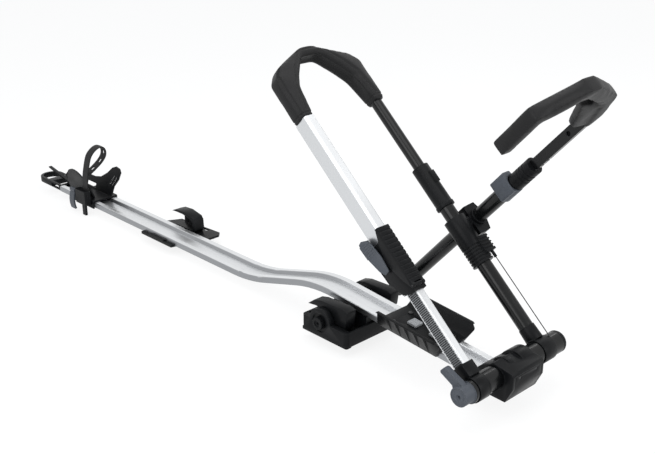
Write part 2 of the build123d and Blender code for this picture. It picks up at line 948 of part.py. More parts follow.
with BuildPart() as wheel_cradle:
    with BuildSketch(Plane.YZ.offset(-cradle_rear)):
        with BuildLine():
            Polyline(
                (-sleeve_half_width, sleeve_bottom), (sleeve_half_width, sleeve_bottom),
                (sleeve_half_width, deck_top), (-sleeve_half_width, deck_top), close=True,
            )
        make_face()
        with BuildLine():
            Polyline(
                (-rail_half - sliding_gap, rail_low_height - sliding_gap),
                (rail_half + sliding_gap, rail_low_height - sliding_gap),
                (rail_half + sliding_gap, rail_top + sliding_gap),
                (-rail_half - sliding_gap, rail_top + sliding_gap), close=True,
            )
        make_face(mode=Mode.SUBTRACT)
    extrude(amount=cradle_rear - cradle_front)
    with BuildPart(mode=Mode.PRIVATE) as near_wing:
        with BuildSketch(Plane.XZ):
            with Locations((-(near_wing_rear + near_wing_front) / 2, rail_top + cradle_deck)):
                Ellipse(near_wing_length / 2, near_wing_height - cradle_deck)
                Rectangle(near_wing_length, near_wing_height, align=(Align.CENTER, Align.MAX), mode=Mode.SUBTRACT)
        extrude(amount=2 * wing_root + near_wing_lean)
        with BuildSketch(Plane.YZ.offset(-far_wing_rear)):
            with BuildLine():
                Polyline(
                    (-wing_root, rail_top),
                    (-wing_root - wing_thickness, rail_top),
                    (-wing_root - near_wing_lean - wing_thickness / 2, near_wing_top),
                    (-wing_root - near_wing_lean + wing_thickness / 2, near_wing_top), close=True,
                )
            make_face()
        extrude(amount=far_wing_length, mode=Mode.INTERSECT)
    add(near_wing.part)
    with BuildPart(mode=Mode.PRIVATE) as far_wing:
        with BuildSketch(Plane.XZ):
            with BuildLine():
                Polyline(*placed(far_wing_shares, (-far_wing_rear, rail_top + cradle_deck / 2),
                                 (far_wing_length, far_wing_height)), close=True)
            make_face()
            with Locations((-(wing_window_rear + wing_window_front) / 2, wing_window_low)):
                Rectangle(wing_window_rear - wing_window_front, wing_window_high - wing_window_low,
                          align=(Align.CENTER, Align.MIN), mode=Mode.SUBTRACT)
            for shift in (0, wing_slot_pitch):
                with Locations(Location((-wing_slot_place + shift, wing_slot_height), wing_slot_lean)):
                    SlotOverall(wing_slot_length, wing_slot_width, mode=Mode.SUBTRACT)
        extrude(amount=-2 * wing_root - far_wing_lean)
        with BuildSketch(Plane.YZ.offset(-far_wing_rear)):
            with BuildLine():
                Polyline(
                    (wing_root, rail_top),
                    (wing_root + wing_thickness, rail_top),
                    (wing_root + far_wing_lean + wing_thickness / 2, far_wing_top + cradle_deck),
                    (wing_root + far_wing_lean - wing_thickness / 2, far_wing_top + cradle_deck), close=True,
                )
            make_face()
        extrude(amount=far_wing_length, mode=Mode.INTERSECT)
    add(far_wing.part)
    with BuildSketch(Plane.YZ.offset(-far_wing_rear)):
        Rectangle(2 * (rail_half + sliding_gap), 2 * (rail_top + sliding_gap))
    extrude(amount=far_wing_length, mode=Mode.SUBTRACT)
finish(wheel_cradle, "wheel_cradle")

# Rubber strap: up from the buckle, out along one strand, round and back to its tip
strap_loop_shares = [
    (0, 0.38), (0.69, 0.60), (1, 0.80), (0.85, 0.98), (0.62, 1), (0.30, 0.92), (0.09, 0.82),
]
strap_points = placed(strap_loop_shares, (-strap_side, strap_foot), (strap_reach, strap_height))

with BuildPart() as wheel_strap:
    with BuildSketch(Plane.YZ.offset(-strap_place - strap_width / 2)):
        with BuildLine():
            FilletPolyline((-strap_side, strap_foot), *strap_points, radius=strap_round)
        trace(line_width=strap_thickness)
        with BuildLine():
            Line(strap_points[0], strap_points[-1])
        trace(line_width=strap_thickness)
    extrude(amount=strap_width)
finish(wheel_strap, "wheel_strap")

# Buckle body beside the cradle, with the slot for the strap and the tail below
buckle_inner = -sleeve_half_width
buckle_outer = buckle_inner - buckle_depth
buckle_middle = buckle_inner - buckle_depth / 2

with BuildPart() as buckle_body:
    with BuildSketch(Plane.XY.offset(buckle_low)):
        with Locations((-(buckle_rear + buckle_front) / 2, buckle_middle)):
            RectangleRounded(buckle_rear - buckle_front, buckle_depth, buckle_round)
    extrude(amount=buckle_top - buckle_low)
    with BuildSketch(Plane.XY.offset(buckle_low - buckle_tail_drop)):
        with Locations((-buckle_tail_place, buckle_outer + buckle_tail_depth)):
            Rectangle(buckle_tail_width, buckle_tail_depth, align=(Align.CENTER, Align.MIN))
    extrude(amount=buckle_tail_drop)
    with BuildSketch(Plane.XY.offset(strap_foot - strap_thickness)):
        with Locations((-strap_place, -strap_side)):
            Rectangle(strap_width + 2 * sliding_gap, strap_thickness + 2 * sliding_gap)
    extrude(amount=buckle_top, mode=Mode.SUBTRACT)
    with BuildSketch(Plane.YZ.offset(-buckle_rear)):
        with Locations((buckle_outer + lever_boss, buckle_pin_height)):
            Circle(buckle_pin_radius)
    extrude(amount=lever_width / 2, mode=Mode.SUBTRACT)
finish(buckle_body, "buckle_body")

with BuildPart() as buckle_pin:
    with BuildSketch(Plane.YZ.offset(-lever_place - lever_width / 2)):
        with Locations((buckle_outer + lever_boss, buckle_pin_height)):
            Circle(buckle_pin_radius)
    extrude(amount=lever_place - buckle_rear + lever_width)
finish(buckle_pin, "buckle_pin")

# Buckle lever: a bowed blade that hangs from its pin
lever_drop = buckle_pin_height - lever_low
lever_side = buckle_outer + lever_boss

with BuildPart() as buckle_lever:
    with BuildSketch(Plane.YZ.offset(-lever_place - lever_width / 2)):
        with Locations((lever_side, buckle_pin_height)):
            Circle(lever_boss)
        with BuildLine():
            ThreePointArc(
                (lever_side, buckle_pin_height),
                (lever_side - lever_bow, buckle_pin_height - lever_drop / 2),
                (lever_side - lever_bow / 2, lever_low),
            )
        trace(line_width=lever_thickness)
        with Locations((lever_side, buckle_pin_height)):
            Circle(buckle_pin_radius + turning_gap, mode=Mode.SUBTRACT)
    extrude(amount=lever_width)
finish(buckle_lever, "buckle_lever")

# Wheel tray: a V channel clipped over the rail, its ends cut to the side outline
tray_length = tray_front_tip - tray_rear
tray_outline = [
    (0, 0),
    (tray_rear_top - tray_rear, tray_top),
    (tray_front_top - tray_rear, tray_top),
    (tray_length, tray_tip_height),
    (tray_front_low - tray_rear, 0),
]
tray_lean = (tray_top_half - tray_foot_half) / tray_top
floor_top = rail_height + tray_floor
floor_half = tray_foot_half + tray_lean * floor_top - tray_wall
lip_height = tray_top - tray_lip_drop

with BuildPart() as wheel_tray:
    with BuildSketch(nose_section(tray_rear)):
        with BuildLine():
            Polyline(
                (0, rail_height),
                (rail_half, rail_height),
                (rail_half, 0),
                (tray_foot_half, 0),
                (tray_top_half - tray_lean * tray_lip_drop, lip_height),
                (tray_top_half + tray_lip_out, lip_height),
                (tray_top_half + tray_lip_out, tray_top),
                (tray_top_half - tray_wall, tray_top),
                (floor_half, floor_top),
                (0, floor_top),
                close=True,
            )
        make_face()
        mirror(about=Plane.YZ)
    extrude(amount=tray_length)
    rib_pitch = (tray_front_top - tray_rear_top) / (tray_rib_count + 1)
    for index in range(tray_rib_count):
        rib_start = tray_rear_top + rib_pitch * (index + 1) - tray_rib_thickness / 2
        with BuildSketch(nose_section(rib_start)):
            with BuildLine():
                Polyline(
                    (tray_foot_half, 0),
                    (tray_top_half + tray_lip_out, lip_height),
                    (tray_top_half - tray_wall, lip_height),
                    close=True,
                )
            make_face()
            mirror(about=Plane.YZ)
        extrude(amount=tray_rib_thickness)
    with BuildSketch(nose_side(0)):
        with BuildLine():
            FilletPolyline(*tray_outline, radius=tray_round, close=True)
        make_face()
    extrude(amount=tray_top_half + tray_lip_out, both=True, mode=Mode.INTERSECT)
    for index in range(tray_pad_count):
        for side in (-tray_screw_side, tray_screw_side):
            floor_spot = nose_point(tray_screw_first + tray_screw_pitch * index) + nose_up * floor_top
            with BuildSketch(Plane(origin=floor_spot + across * side, x_dir=across, z_dir=-nose_up)):
                Circle(tray_screw_radius)
            extrude(amount=tray_floor, mode=Mode.SUBTRACT)
finish(wheel_tray, "wheel_tray")

with BuildPart() as tray_pads:
    for index in range(tray_pad_count):
        pad_place = tray_pad_first + tray_pad_pitch * index - tray_pad_length / 2
        with BuildSketch(nose_section(pad_place)):
            with Locations((0, floor_top)):
                Rectangle(tray_pad_width, tray_pad_height, align=(Align.CENTER, Align.MIN))
        extrude(amount=tray_pad_length)
finish(tray_pads, "tray_pads")

# Pivot housing: a moulded block round the cross tube that also sockets the rail
housing_length = housing_front - housing_rear
housing_height = housing_high - housing_low
housing_shares = [
    (0, 0.07), (0, 0.44), (0.25, 0.77), (0.41, 0.87), (0.52, 0.97), (0.96, 0.87), (1, 0.79),
    (1, 0.43), (0.85, 0), (0.48, 0.01),
]
cover_shares = [(0.985, 0.81), (1, 0.77), (1, 0.43), (0.87, 0.05)]
cover_outer = placed(cover_shares, (housing_rear, housing_low), (housing_length, housing_height))
cover_inner = [(x - cover_thickness, z) for x, z in reversed(cover_outer)]
bush_radius = hub_radius + bush_wall

with BuildPart() as pivot_housing:
    with BuildSketch(Plane.XZ.offset(housing_half)):
        with BuildLine():
            Polyline(*placed(housing_shares, (housing_rear, housing_low), (housing_length, housing_height)),
                     close=True)
        make_face()
    extrude(amount=-2 * housing_half)
    for radius, width, place in (
        (housing_ring_radius, housing_ring_width, housing_ring_place),
        (housing_lobe_radius, housing_lobe_width, housing_lobe_place),
    ):
        with BuildSketch(Plane.XZ.offset(-place + width / 2)):
            with Locations((hub_x, hub_z)):
                Circle(radius)
        extrude(amount=-width)
    with BuildSketch(Plane.XZ.offset(housing_half + overrun)):
        with Locations((hub_x, hub_z)):
            Circle(bush_radius)
    extrude(amount=-2 * (housing_half + overrun), mode=Mode.SUBTRACT)
    with BuildSketch(nose_section(rail_front)):
        Rectangle(rail_width, rail_height, align=(Align.CENTER, Align.MIN))
    extrude(amount=-(rail_front - housing_rear) - overrun, mode=Mode.SUBTRACT)
    with BuildSketch(Plane.XZ.offset(cover_half)):
        with BuildLine():
            Polyline(*cover_outer, *cover_inner, close=True)
        make_face()
        with Locations((housing_front, cover_screw_height)):
            Rectangle(2 * cover_thickness, cover_thickness)
    extrude(amount=-2 * cover_half, mode=Mode.SUBTRACT)
    with BuildSketch(Plane.YZ.offset(housing_front - cover_screw_length)):
        with Locations((-cover_screw_side, cover_screw_height), (cover_screw_side, cover_screw_height)):
            Circle(cover_screw_radius)
    extrude(amount=cover_screw_length, mode=Mode.SUBTRACT)
finish(pivot_housing, "pivot_housing")

with BuildPart() as housing_cover:
    with BuildSketch(Plane.XZ.offset(cover_half)):
        with BuildLine():
            Polyline(*cover_outer, *cover_inner, close=True)
        make_face()
    extrude(amount=-2 * cover_half)
    with BuildSketch(Plane.YZ.offset(housing_front - cover_screw_length)):
        with Locations((-cover_screw_side, cover_screw_height), (cover_screw_side, cover_screw_height)):
            Circle(cover_screw_radius)
    extrude(amount=cover_screw_length, mode=Mode.SUBTRACT)
finish(housing_cover, "housing_cover")

with BuildPart() as cover_screws:
    with BuildSketch(Plane.YZ.offset(housing_front - cover_screw_length)):
        with Locations((-cover_screw_side, cover_screw_height), (cover_screw_side, cover_screw_height)):
            Circle(cover_screw_radius)
    extrude(amount=cover_screw_length - cover_screw_sink)
finish(cover_screws, "cover_screws")

with BuildPart() as pivot_bushes:
    for place in (-housing_half, housing_half - bush_length):
        with BuildSketch(Plane.XZ.offset(-place)):
            with Locations((hub_x, hub_z)):
                Circle(bush_radius)
                Circle(hub_radius + turning_gap, mode=Mode.SUBTRACT)
        extrude(amount=-bush_length)
finish(pivot_bushes, "pivot_bushes")

# Screws through the tray floor into the ridges of the rail
with BuildPart() as tray_screws:
    for index in range(tray_pad_count):
        for side in (-tray_screw_side, tray_screw_side):
            head_seat = nose_point(tray_screw_first + tray_screw_pitch * index) + nose_up * floor_top + across * side
            with BuildSketch(Plane(origin=head_seat, x_dir=across, z_dir=nose_up)):
                Circle(tray_screw_head)
            extrude(amount=tray_screw_head_height)
            with BuildSketch(Plane(origin=head_seat, x_dir=across, z_dir=-nose_up)):
                Circle(tray_screw_radius)
            extrude(amount=tray_floor + rail_wall)
finish(tray_screws, "tray_screws")

# Cross tube that the hoop turns on, with its plug, far cap and release lever
with BuildPart() as cross_tube:
    with BuildSketch(Plane.XZ.offset(hub_near)):
        with Locations((hub_x, hub_z)):
            Circle(hub_radius)
            Circle(hub_bore, mode=Mode.SUBTRACT)
    extrude(amount=-hub_near - hub_far)
    with BuildSketch(leg_section(cable_foot, cable_side)):
        with Locations((cable_offset, 0)):
            Circle(cable_radius)
    extrude(amount=hub_radius, mode=Mode.SUBTRACT)
finish(cross_tube, "cross_tube")

with BuildPart() as hub_plug:
    with BuildSketch(Plane.XZ.offset(hub_near)):
        with Locations((hub_x, hub_z)):
            Circle(hub_bore)
            Circle(hub_plug_bore, mode=Mode.SUBTRACT)
    extrude(amount=-hub_plug_length)
finish(hub_plug, "hub_plug")

with BuildPart() as far_cap:
    with BuildSketch(Plane.XY.offset(hub_z)):
        with BuildLine():
            Polyline(
                (hub_x, hub_far),
                (hub_x + hub_radius, hub_far),
                (hub_x + hub_radius, hub_far + far_cap_length - far_cap_round),
                (hub_x + hub_radius - far_cap_round / 3, hub_far + far_cap_length - far_cap_round / 3),
                (hub_x + hub_radius - far_cap_round, hub_far + far_cap_length),
                (hub_x, hub_far + far_cap_length),
                close=True,
            )
        make_face()
    revolve(axis=Axis((hub_x, 0, hub_z), (0, 1, 0)))
    with BuildSketch(Plane.XZ.offset(-hub_far)):
        with Locations((hub_x, hub_z)):
            Circle(hub_bore)
    extrude(amount=far_cap_length)
finish(far_cap, "far_cap")

lever_back = -hub_near - sliding_gap
lever_front = lever_back - hub_lever_length
lever_angle = radians(hub_lever_lean)
lever_plane = Plane(
    origin=hub + across * lever_front,
    x_dir=Vector(cos(lever_angle), 0, sin(lever_angle)),
    z_dir=-across,
)

with BuildPart() as hub_lever:
    with BuildSketch(Plane.XY.offset(hub_z)):
        with BuildLine():
            Polyline(
                (hub_x, lever_back),
                (hub_x + hub_radius, lever_back),
                (hub_x + hub_radius, lever_front + hub_lever_bevel),
                (hub_x + hub_lever_face, lever_front),
                (hub_x, lever_front),
                close=True,
            )
        make_face()
    revolve(axis=Axis((hub_x, 0, hub_z), (0, 1, 0)))
    with BuildSketch(lever_plane):
        with BuildLine():
            Polyline(
                (0, -hub_lever_blade_root / 2),
                (hub_lever_blade, -hub_lever_blade_tip / 2),
                (hub_lever_blade, hub_lever_blade_tip / 2),
                (0, hub_lever_blade_root / 2),
                close=True,
            )
        make_face()
        fillet(vertices().group_by(Axis.X)[-1], hub_lever_round)
    extrude(amount=-hub_lever_blade_thickness)
    with BuildSketch(Plane.XZ.offset(-lever_front)):
        with Locations((hub_x, hub_z)):
            Circle(hub_lever_hole)
    extrude(amount=-hub_lever_dish, mode=Mode.SUBTRACT)
    with BuildSketch(Plane.XZ.offset(-lever_back)):
        with Locations((hub_x, hub_z)):
            Circle(hub_plug_bore - turning_gap)
    extrude(amount=-hub_lever_stub)
finish(hub_lever, "hub_lever")

# Clamp and socket that fix the two legs to the cross tube
leg_middle = -leg_side + inner_tube_shift

with BuildPart() as leg_clamp:
    with BuildSketch(side_plane(-leg_side - leg_clamp_width / 2)):
        Circle(leg_clamp_radius)
        with Locations((0, -leg_clamp_low)):
            Rectangle(leg_clamp_height, leg_clamp_low + leg_clamp_high, align=(Align.MIN, Align.MIN))
        Circle(hub_radius, mode=Mode.SUBTRACT)
    extrude(amount=leg_clamp_width)
    with BuildSketch(leg_section(leg_foot, leg_middle)):
        RectangleRounded(inner_tube_depth, inner_tube_width, inner_tube_round)
    extrude(amount=leg_clamp_height, mode=Mode.SUBTRACT)
    with BuildSketch(side_plane(-leg_side - leg_clamp_width / 2)):
        with Locations((leg_screw_near, 0)):
            Circle(leg_screw_radius)
    extrude(amount=leg_screw_length, mode=Mode.SUBTRACT)
finish(leg_clamp, "leg_clamp")

with BuildPart() as leg_socket:
    with BuildSketch(side_plane(leg_side - leg_clamp_width / 2)):
        Circle(leg_clamp_radius)
    extrude(amount=leg_clamp_width)
    with BuildSketch(leg_section(0, leg_side)):
        Circle(leg_socket_radius)
    extrude(amount=leg_socket_height)
    with BuildSketch(side_plane(leg_side - leg_clamp_radius)):
        Circle(hub_radius)
    extrude(amount=2 * leg_clamp_radius, mode=Mode.SUBTRACT)
    with BuildSketch(leg_section(leg_foot, leg_side)):
        Circle(thick_tube_radius)
    extrude(amount=leg_socket_height, mode=Mode.SUBTRACT)
    with BuildSketch(side_plane(leg_side)):
        with Locations((leg_screw_far, 0)):
            Circle(leg_screw_radius)
    extrude(amount=leg_socket_radius + overrun, mode=Mode.SUBTRACT)
finish(leg_socket, "leg_socket")

with BuildPart() as leg_screws:
    with BuildSketch(side_plane(-leg_side - leg_clamp_width / 2 + cover_screw_sink)):
        with Locations((leg_screw_near, 0)):
            Circle(leg_screw_radius)
    extrude(amount=leg_screw_length - cover_screw_sink)
    with BuildSketch(side_plane(leg_screw_tip)):
        with Locations((leg_screw_far, 0)):
            Circle(leg_screw_radius)
    extrude(amount=leg_screw_length - cover_screw_sink)
finish(leg_screws, "leg_screws")

# Near leg: inner tube with the toothed strip that the ratchet climbs
rack_face = leg_middle - inner_tube_width / 2

with BuildPart() as inner_tube:
    with BuildSketch(leg_section(leg_foot, leg_middle)):
        RectangleRounded(inner_tube_depth, inner_tube_width, inner_tube_round)
        RectangleRounded(
            inner_tube_depth - 2 * inner_tube_wall, inner_tube_width - 2 * inner_tube_wall,
            inner_tube_round - inner_tube_wall, mode=Mode.SUBTRACT,
        )
    extrude(amount=inner_tube_top - leg_foot)
    with BuildSketch(side_plane(-leg_side - leg_clamp_width / 2)):
        with Locations((leg_screw_near, 0)):
            Circle(leg_screw_radius)
    extrude(amount=leg_screw_length, mode=Mode.SUBTRACT)
finish(inner_tube, "inner_tube")

rack_middle = rack_first + rack_pitch * (rack_count - 1) / 2

with BuildPart() as gear_rack:
    with BuildSketch(side_plane(rack_face)):
        with Locations((rack_middle, 0)):
            Rectangle(rack_pitch * rack_count, rack_width)
    extrude(amount=-rack_base)
    with BuildSketch(side_plane(rack_face - rack_base)):
        with Locations((rack_middle, 0)):
            with GridLocations(rack_pitch, 0, rack_count, 1):
                Rectangle(rack_land, rack_width)
    extrude(amount=-rack_tooth)
finish(gear_rack, "gear_rack")

# Far leg: thick lower tube and the collar that guides the thin tube
with BuildPart() as far_lower_tube:
    with BuildSketch(leg_section(leg_foot, leg_side)):
        Circle(thick_tube_radius)
        Circle(thick_tube_bore, mode=Mode.SUBTRACT)
    extrude(amount=thick_tube_top - leg_foot)
    with BuildSketch(side_plane(leg_side)):
        with Locations((leg_screw_far, 0)):
            Circle(leg_screw_radius)
    extrude(amount=leg_socket_radius + overrun, mode=Mode.SUBTRACT)
finish(far_lower_tube, "far_lower_tube")

with BuildPart() as far_collar:
    with BuildSketch(leg_section(far_collar_foot, leg_side)):
        Circle(far_collar_radius)
    extrude(amount=far_collar_top - far_collar_foot)
    with BuildSketch(leg_section(far_collar_foot, leg_side)):
        Circle(far_collar_radius + far_collar_lip)
    extrude(amount=far_collar_lip_length)
    with BuildSketch(leg_section(far_clip_place - far_clip_length / 2, leg_side)):
        Rectangle(far_collar_radius + far_clip_rise, far_clip_width, align=(Align.MIN, Align.CENTER))
    extrude(amount=far_clip_length)
    with BuildSketch(leg_section(far_collar_foot, leg_side)):
        Circle(thick_tube_radius)
    extrude(amount=thick_tube_top - far_collar_foot, mode=Mode.SUBTRACT)
    with BuildSketch(leg_section(far_collar_foot, leg_side)):
        Circle(thin_tube_radius + sliding_gap)
    extrude(amount=far_collar_top - far_collar_foot, mode=Mode.SUBTRACT)
finish(far_collar, "far_collar")

# Bracket on the far leg: grooved collar, louvred block, boss for the arm and cable ferrule
with BuildPart() as arm_bracket:
    with BuildSketch(leg_section(bracket_foot, leg_side)):
        Circle(bracket_radius)
    extrude(amount=bracket_top - bracket_foot)
    for index in range(bracket_groove_count):
        groove_foot = bracket_foot + bracket_groove_pitch * (index + 1) - bracket_groove_width
        with BuildSketch(leg_section(groove_foot, leg_side)):
            Circle(bracket_radius)
            Circle(bracket_radius - bracket_groove_depth, mode=Mode.SUBTRACT)
        extrude(amount=bracket_groove_width, mode=Mode.SUBTRACT)
    with BuildSketch(leg_section(louvre_foot, (louvre_side + louvre_inner) / 2)):
        Rectangle(louvre_high, louvre_side - louvre_inner, align=(Align.MIN, Align.CENTER))
    extrude(amount=louvre_top - louvre_foot)
    louvre_pitch = (louvre_top - louvre_foot) / (louvre_count + 1)
    with BuildSketch(hoop_face(louvre_high)):
        with Locations(((louvre_top + louvre_foot) / 2, (louvre_side + louvre_inner) / 2)):
            with GridLocations(louvre_pitch, 0, louvre_count, 1):
                Rectangle(louvre_width, louvre_side - louvre_inner)
    extrude(amount=louvre_depth, mode=Mode.SUBTRACT)
    with BuildSketch(side_plane(leg_side)):
        with Locations((arm_t, 0)):
            Circle(arm_boss_radius)
    extrude(amount=arm_boss_side - leg_side)
    with BuildSketch(leg_section(louvre_foot - ferrule_length, cable_side)):
        with Locations((cable_offset, 0)):
            Circle(ferrule_radius)
    extrude(amount=ferrule_length)
    with BuildSketch(leg_section(bracket_foot - overrun, cable_side)):
        with Locations((cable_offset, 0)):
            Circle(cable_radius)
    extrude(amount=cable_top - bracket_foot + overrun, mode=Mode.SUBTRACT)
    with BuildSketch(leg_section(bracket_foot - overrun, leg_side)):
        Circle(thick_tube_radius)
    extrude(amount=bracket_top - bracket_foot + 2 * overrun, mode=Mode.SUBTRACT)
    with BuildSketch(side_plane(arm_bolt_root)):
        with Locations((arm_t, 0)):
            Circle(arm_bolt_radius)
    extrude(amount=arm_boss_side - arm_bolt_root, mode=Mode.SUBTRACT)
finish(arm_bracket, "arm_bracket")

with BuildPart() as arm_bolt:
    with BuildSketch(side_plane(arm_bolt_root)):
        with Locations((arm_t, 0)):
            Circle(arm_bolt_radius)
    extrude(amount=arm_bolt_seat - arm_bolt_root)
    with BuildSketch(side_plane(arm_bolt_seat)):
        with Locations((arm_t, 0)):
            Circle(arm_bolt_head)
    extrude(amount=arm_bolt_head_height)
finish(arm_bolt, "arm_bolt")

with BuildPart() as release_cable:
    with BuildSketch(leg_section(cable_foot, cable_side)):
        with Locations((cable_offset, 0)):
            Circle(cable_radius)
    extrude(amount=cable_top - cable_foot)
finish(release_cable, "release_cable")

# Sliding upper tubes and the rubber-covered hoop that joins them
with BuildPart() as outer_tube:
    with BuildSketch(leg_section(outer_tube_foot, -leg_side)):
        RectangleRounded(outer_tube_depth, outer_tube_width, outer_tube_round)
        RectangleRounded(
            outer_tube_depth - 2 * outer_tube_wall, outer_tube_width - 2 * outer_tube_wall,
            outer_tube_round - outer_tube_wall, mode=Mode.SUBTRACT,
        )
    extrude(amount=pad_limb - outer_tube_foot)
finish(outer_tube, "outer_tube")

with BuildPart() as far_upper_tube:
    with BuildSketch(leg_section(thin_tube_foot, leg_side)):
        Circle(thin_tube_radius)
        Circle(thin_tube_radius - thin_tube_wall, mode=Mode.SUBTRACT)
    extrude(amount=pad_limb - thin_tube_foot)
finish(far_upper_tube, "far_upper_tube")

hoop_outline = [
    (pad_limb, -pad_outer_half),
    (pad_shoulder, -pad_outer_half),
    (pad_corner, -pad_corner_half),
    (pad_apex, -pad_apex_half),
    (pad_apex, pad_apex_half),
    (pad_corner, pad_corner_half),
    (pad_shoulder, pad_outer_half),
    (pad_limb, pad_outer_half),
    (pad_limb, pad_far_inner),
    (pad_waist, pad_waist_half),
    (pad_bend, pad_bend_half),
    (pad_inner_apex, pad_inner_apex_half),
    (pad_inner_apex, -pad_inner_apex_half),
    (pad_bend, -pad_bend_half),
    (pad_waist, -pad_waist_half),
    (pad_limb, -pad_near_inner),
]

with BuildPart() as hoop_pad:
    with BuildSketch(hoop_face(pad_half_depth)):
        with BuildLine():
            FilletPolyline(*hoop_outline, radius=pad_bend_radius, close=True)
        make_face()
    extrude(amount=2 * pad_half_depth)
    rims = faces().sort_by(Axis((0, 0, 0), along_arm))
    chamfer(rims[0].edges() + rims[-1].edges(), pad_round)
    with BuildSketch(leg_section(pad_limb - pad_spigot, -leg_side)):
        RectangleRounded(
            outer_tube_depth - 2 * outer_tube_wall, outer_tube_width - 2 * outer_tube_wall,
            outer_tube_round - outer_tube_wall,
        )
    extrude(amount=pad_spigot + pad_bend_radius)
    with BuildSketch(leg_section(pad_limb - pad_spigot, leg_side)):
        Circle(thin_tube_radius - thin_tube_wall)
    extrude(amount=pad_spigot + pad_bend_radius)
finish(hoop_pad, "hoop_pad")

# Ratchet housing on the foot of the outer tube, with lugs for its handle
ratchet_width = ratchet_near - ratchet_far
ratchet_length = ratchet_top - ratchet_foot
ratchet_height = ratchet_high + ratchet_low
ratchet_shares = [
    (0, 0.74), (0.07, 0.36), (0.27, 0.16), (0.36, 0.04), (0.60, 0), (0.66, 0.06), (0.70, 0.34),
    (0.96, 0.40), (1, 0.48), (1, 1), (0, 1),
]

with BuildPart() as ratchet_body:
    with BuildSketch(side_plane(-ratchet_near)):
        with BuildLine():
            Polyline(*placed(ratchet_shares, (ratchet_foot, -ratchet_low), (ratchet_length, ratchet_height)),
                     close=True)
        make_face()
    extrude(amount=ratchet_width)
    with BuildSketch(side_plane(-lug_near)):
        with Locations((handle_pivot, handle_pivot_height)):
            Circle(lug_radius)
        with Locations((handle_pivot, ratchet_high)):
            Rectangle(2 * lug_radius, 2 * (handle_pivot_height - ratchet_high), align=(Align.CENTER, Align.CENTER))
    extrude(amount=lug_near - lug_far)
    with BuildSketch(leg_section(outer_tube_foot, -leg_side)):
        RectangleRounded(outer_tube_depth, outer_tube_width, outer_tube_round)
    extrude(amount=ratchet_length, mode=Mode.SUBTRACT)
    with BuildSketch(leg_section(ratchet_foot, -leg_side)):
        RectangleRounded(
            outer_tube_depth - 2 * outer_tube_wall, outer_tube_width - 2 * outer_tube_wall,
            outer_tube_round - outer_tube_wall,
        )
    extrude(amount=ratchet_length, mode=Mode.SUBTRACT)
    with BuildSketch(side_plane(-leg_side - release_width / 2 - 2 * sliding_gap)):
        with Locations((ratchet_slot_start, -outer_tube_depth / 2)):
            Rectangle(ratchet_length, ratchet_low, align=(Align.MIN, Align.MAX))
    extrude(amount=release_width + 4 * sliding_gap, mode=Mode.SUBTRACT)
    with BuildSketch(side_plane(-ratchet_near)):
        with Locations((handle_pivot, handle_pivot_height)):
            Circle(handle_pin_radius)
        with Locations((release_pivot, -release_pivot_depth)):
            Circle(release_pin_radius)
    extrude(amount=ratchet_width, mode=Mode.SUBTRACT)
finish(ratchet_body, "ratchet_body")

with BuildPart() as handle_pin:
    with BuildSketch(side_plane(-handle_near + sliding_gap)):
        with Locations((handle_pivot, handle_pivot_height)):
            Circle(handle_pin_radius)
    extrude(amount=handle_near - handle_far - 2 * sliding_gap)
finish(handle_pin, "handle_pin")

with BuildPart() as release_pin:
    with BuildSketch(side_plane(-ratchet_near + sliding_gap)):
        with Locations((release_pivot, -release_pivot_depth)):
            Circle(release_pin_radius)
    extrude(amount=ratchet_width - 2 * sliding_gap)
finish(release_pin, "release_pin")

# Pump handle: a hollow ribbed lever with one long cheek over the ratchet's side
handle_length = handle_top - handle_pivot
handle_depth = handle_high - handle_low
cheek_shares = [
    (0, 1), (0, 0.85), (0.05, 0.70), (0.17, 0.42), (0.41, 0.09), (0.58, 0), (0.80, 0.28), (1, 0.70), (1, 1),
]

with BuildPart() as pump_handle:
    with BuildSketch(side_plane(-handle_near)):
        with Locations((handle_pivot, handle_low)):
            Rectangle(handle_length, handle_depth, align=(Align.MIN, Align.MIN))
        with Locations((handle_pivot, handle_pivot_height)):
            Circle(handle_boss)
    extrude(amount=handle_near - handle_far)
    with BuildSketch(side_plane(-handle_near)):
        with BuildLine():
            Polyline(*placed(cheek_shares, (handle_pivot - handle_boss, handle_cheek_low),
                             (handle_length, handle_high - handle_cheek_low)), close=True)
        make_face()
    extrude(amount=handle_cheek)
    with BuildSketch(side_plane(-handle_near + handle_wall)):
        with Locations((handle_pivot + handle_boss + lug_gap, handle_low)):
            Rectangle(
                handle_length - handle_boss - handle_wall - lug_gap, handle_depth - handle_wall,
                align=(Align.MIN, Align.MIN),
            )
    extrude(amount=handle_near - handle_far - 2 * handle_wall, mode=Mode.SUBTRACT)
    with BuildSketch(side_plane(-lug_near - lug_gap)):
        with Locations((handle_pivot, handle_pivot_height)):
            Rectangle(2 * (handle_boss + 2 * lug_gap), 2 * (handle_boss + 2 * lug_gap))
    extrude(amount=lug_near - lug_far + 2 * lug_gap, mode=Mode.SUBTRACT)
    groove_step = (handle_length - handle_boss) / (handle_rib_count + 1)
    with BuildSketch(hoop_face(handle_high)):
        with Locations(((handle_top + handle_pivot + handle_boss) / 2, -(handle_near + handle_far) / 2)):
            with GridLocations(groove_step, 0, handle_rib_count, 1):
                Rectangle(handle_rib_groove, handle_near - handle_far)
    extrude(amount=handle_rib_depth, mode=Mode.SUBTRACT)
    with BuildSketch(side_plane(-handle_near)):
        with Locations((handle_pivot, handle_pivot_height)):
            Circle(handle_pin_radius + turning_gap)
    extrude(amount=handle_near - handle_far, mode=Mode.SUBTRACT)
finish(pump_handle, "pump_handle")

# Release lever under the leg
release_length = release_top - release_pivot + release_boss
release_high = outer_tube_depth / 2 + 5 * sliding_gap
release_height = release_deep - release_high
release_shares = [
    (0, 1), (0.97, 1), (1, 0.78), (0.95, 0.2), (0.74, 0), (0.2, 0.5), (0.01, 0.63),
]

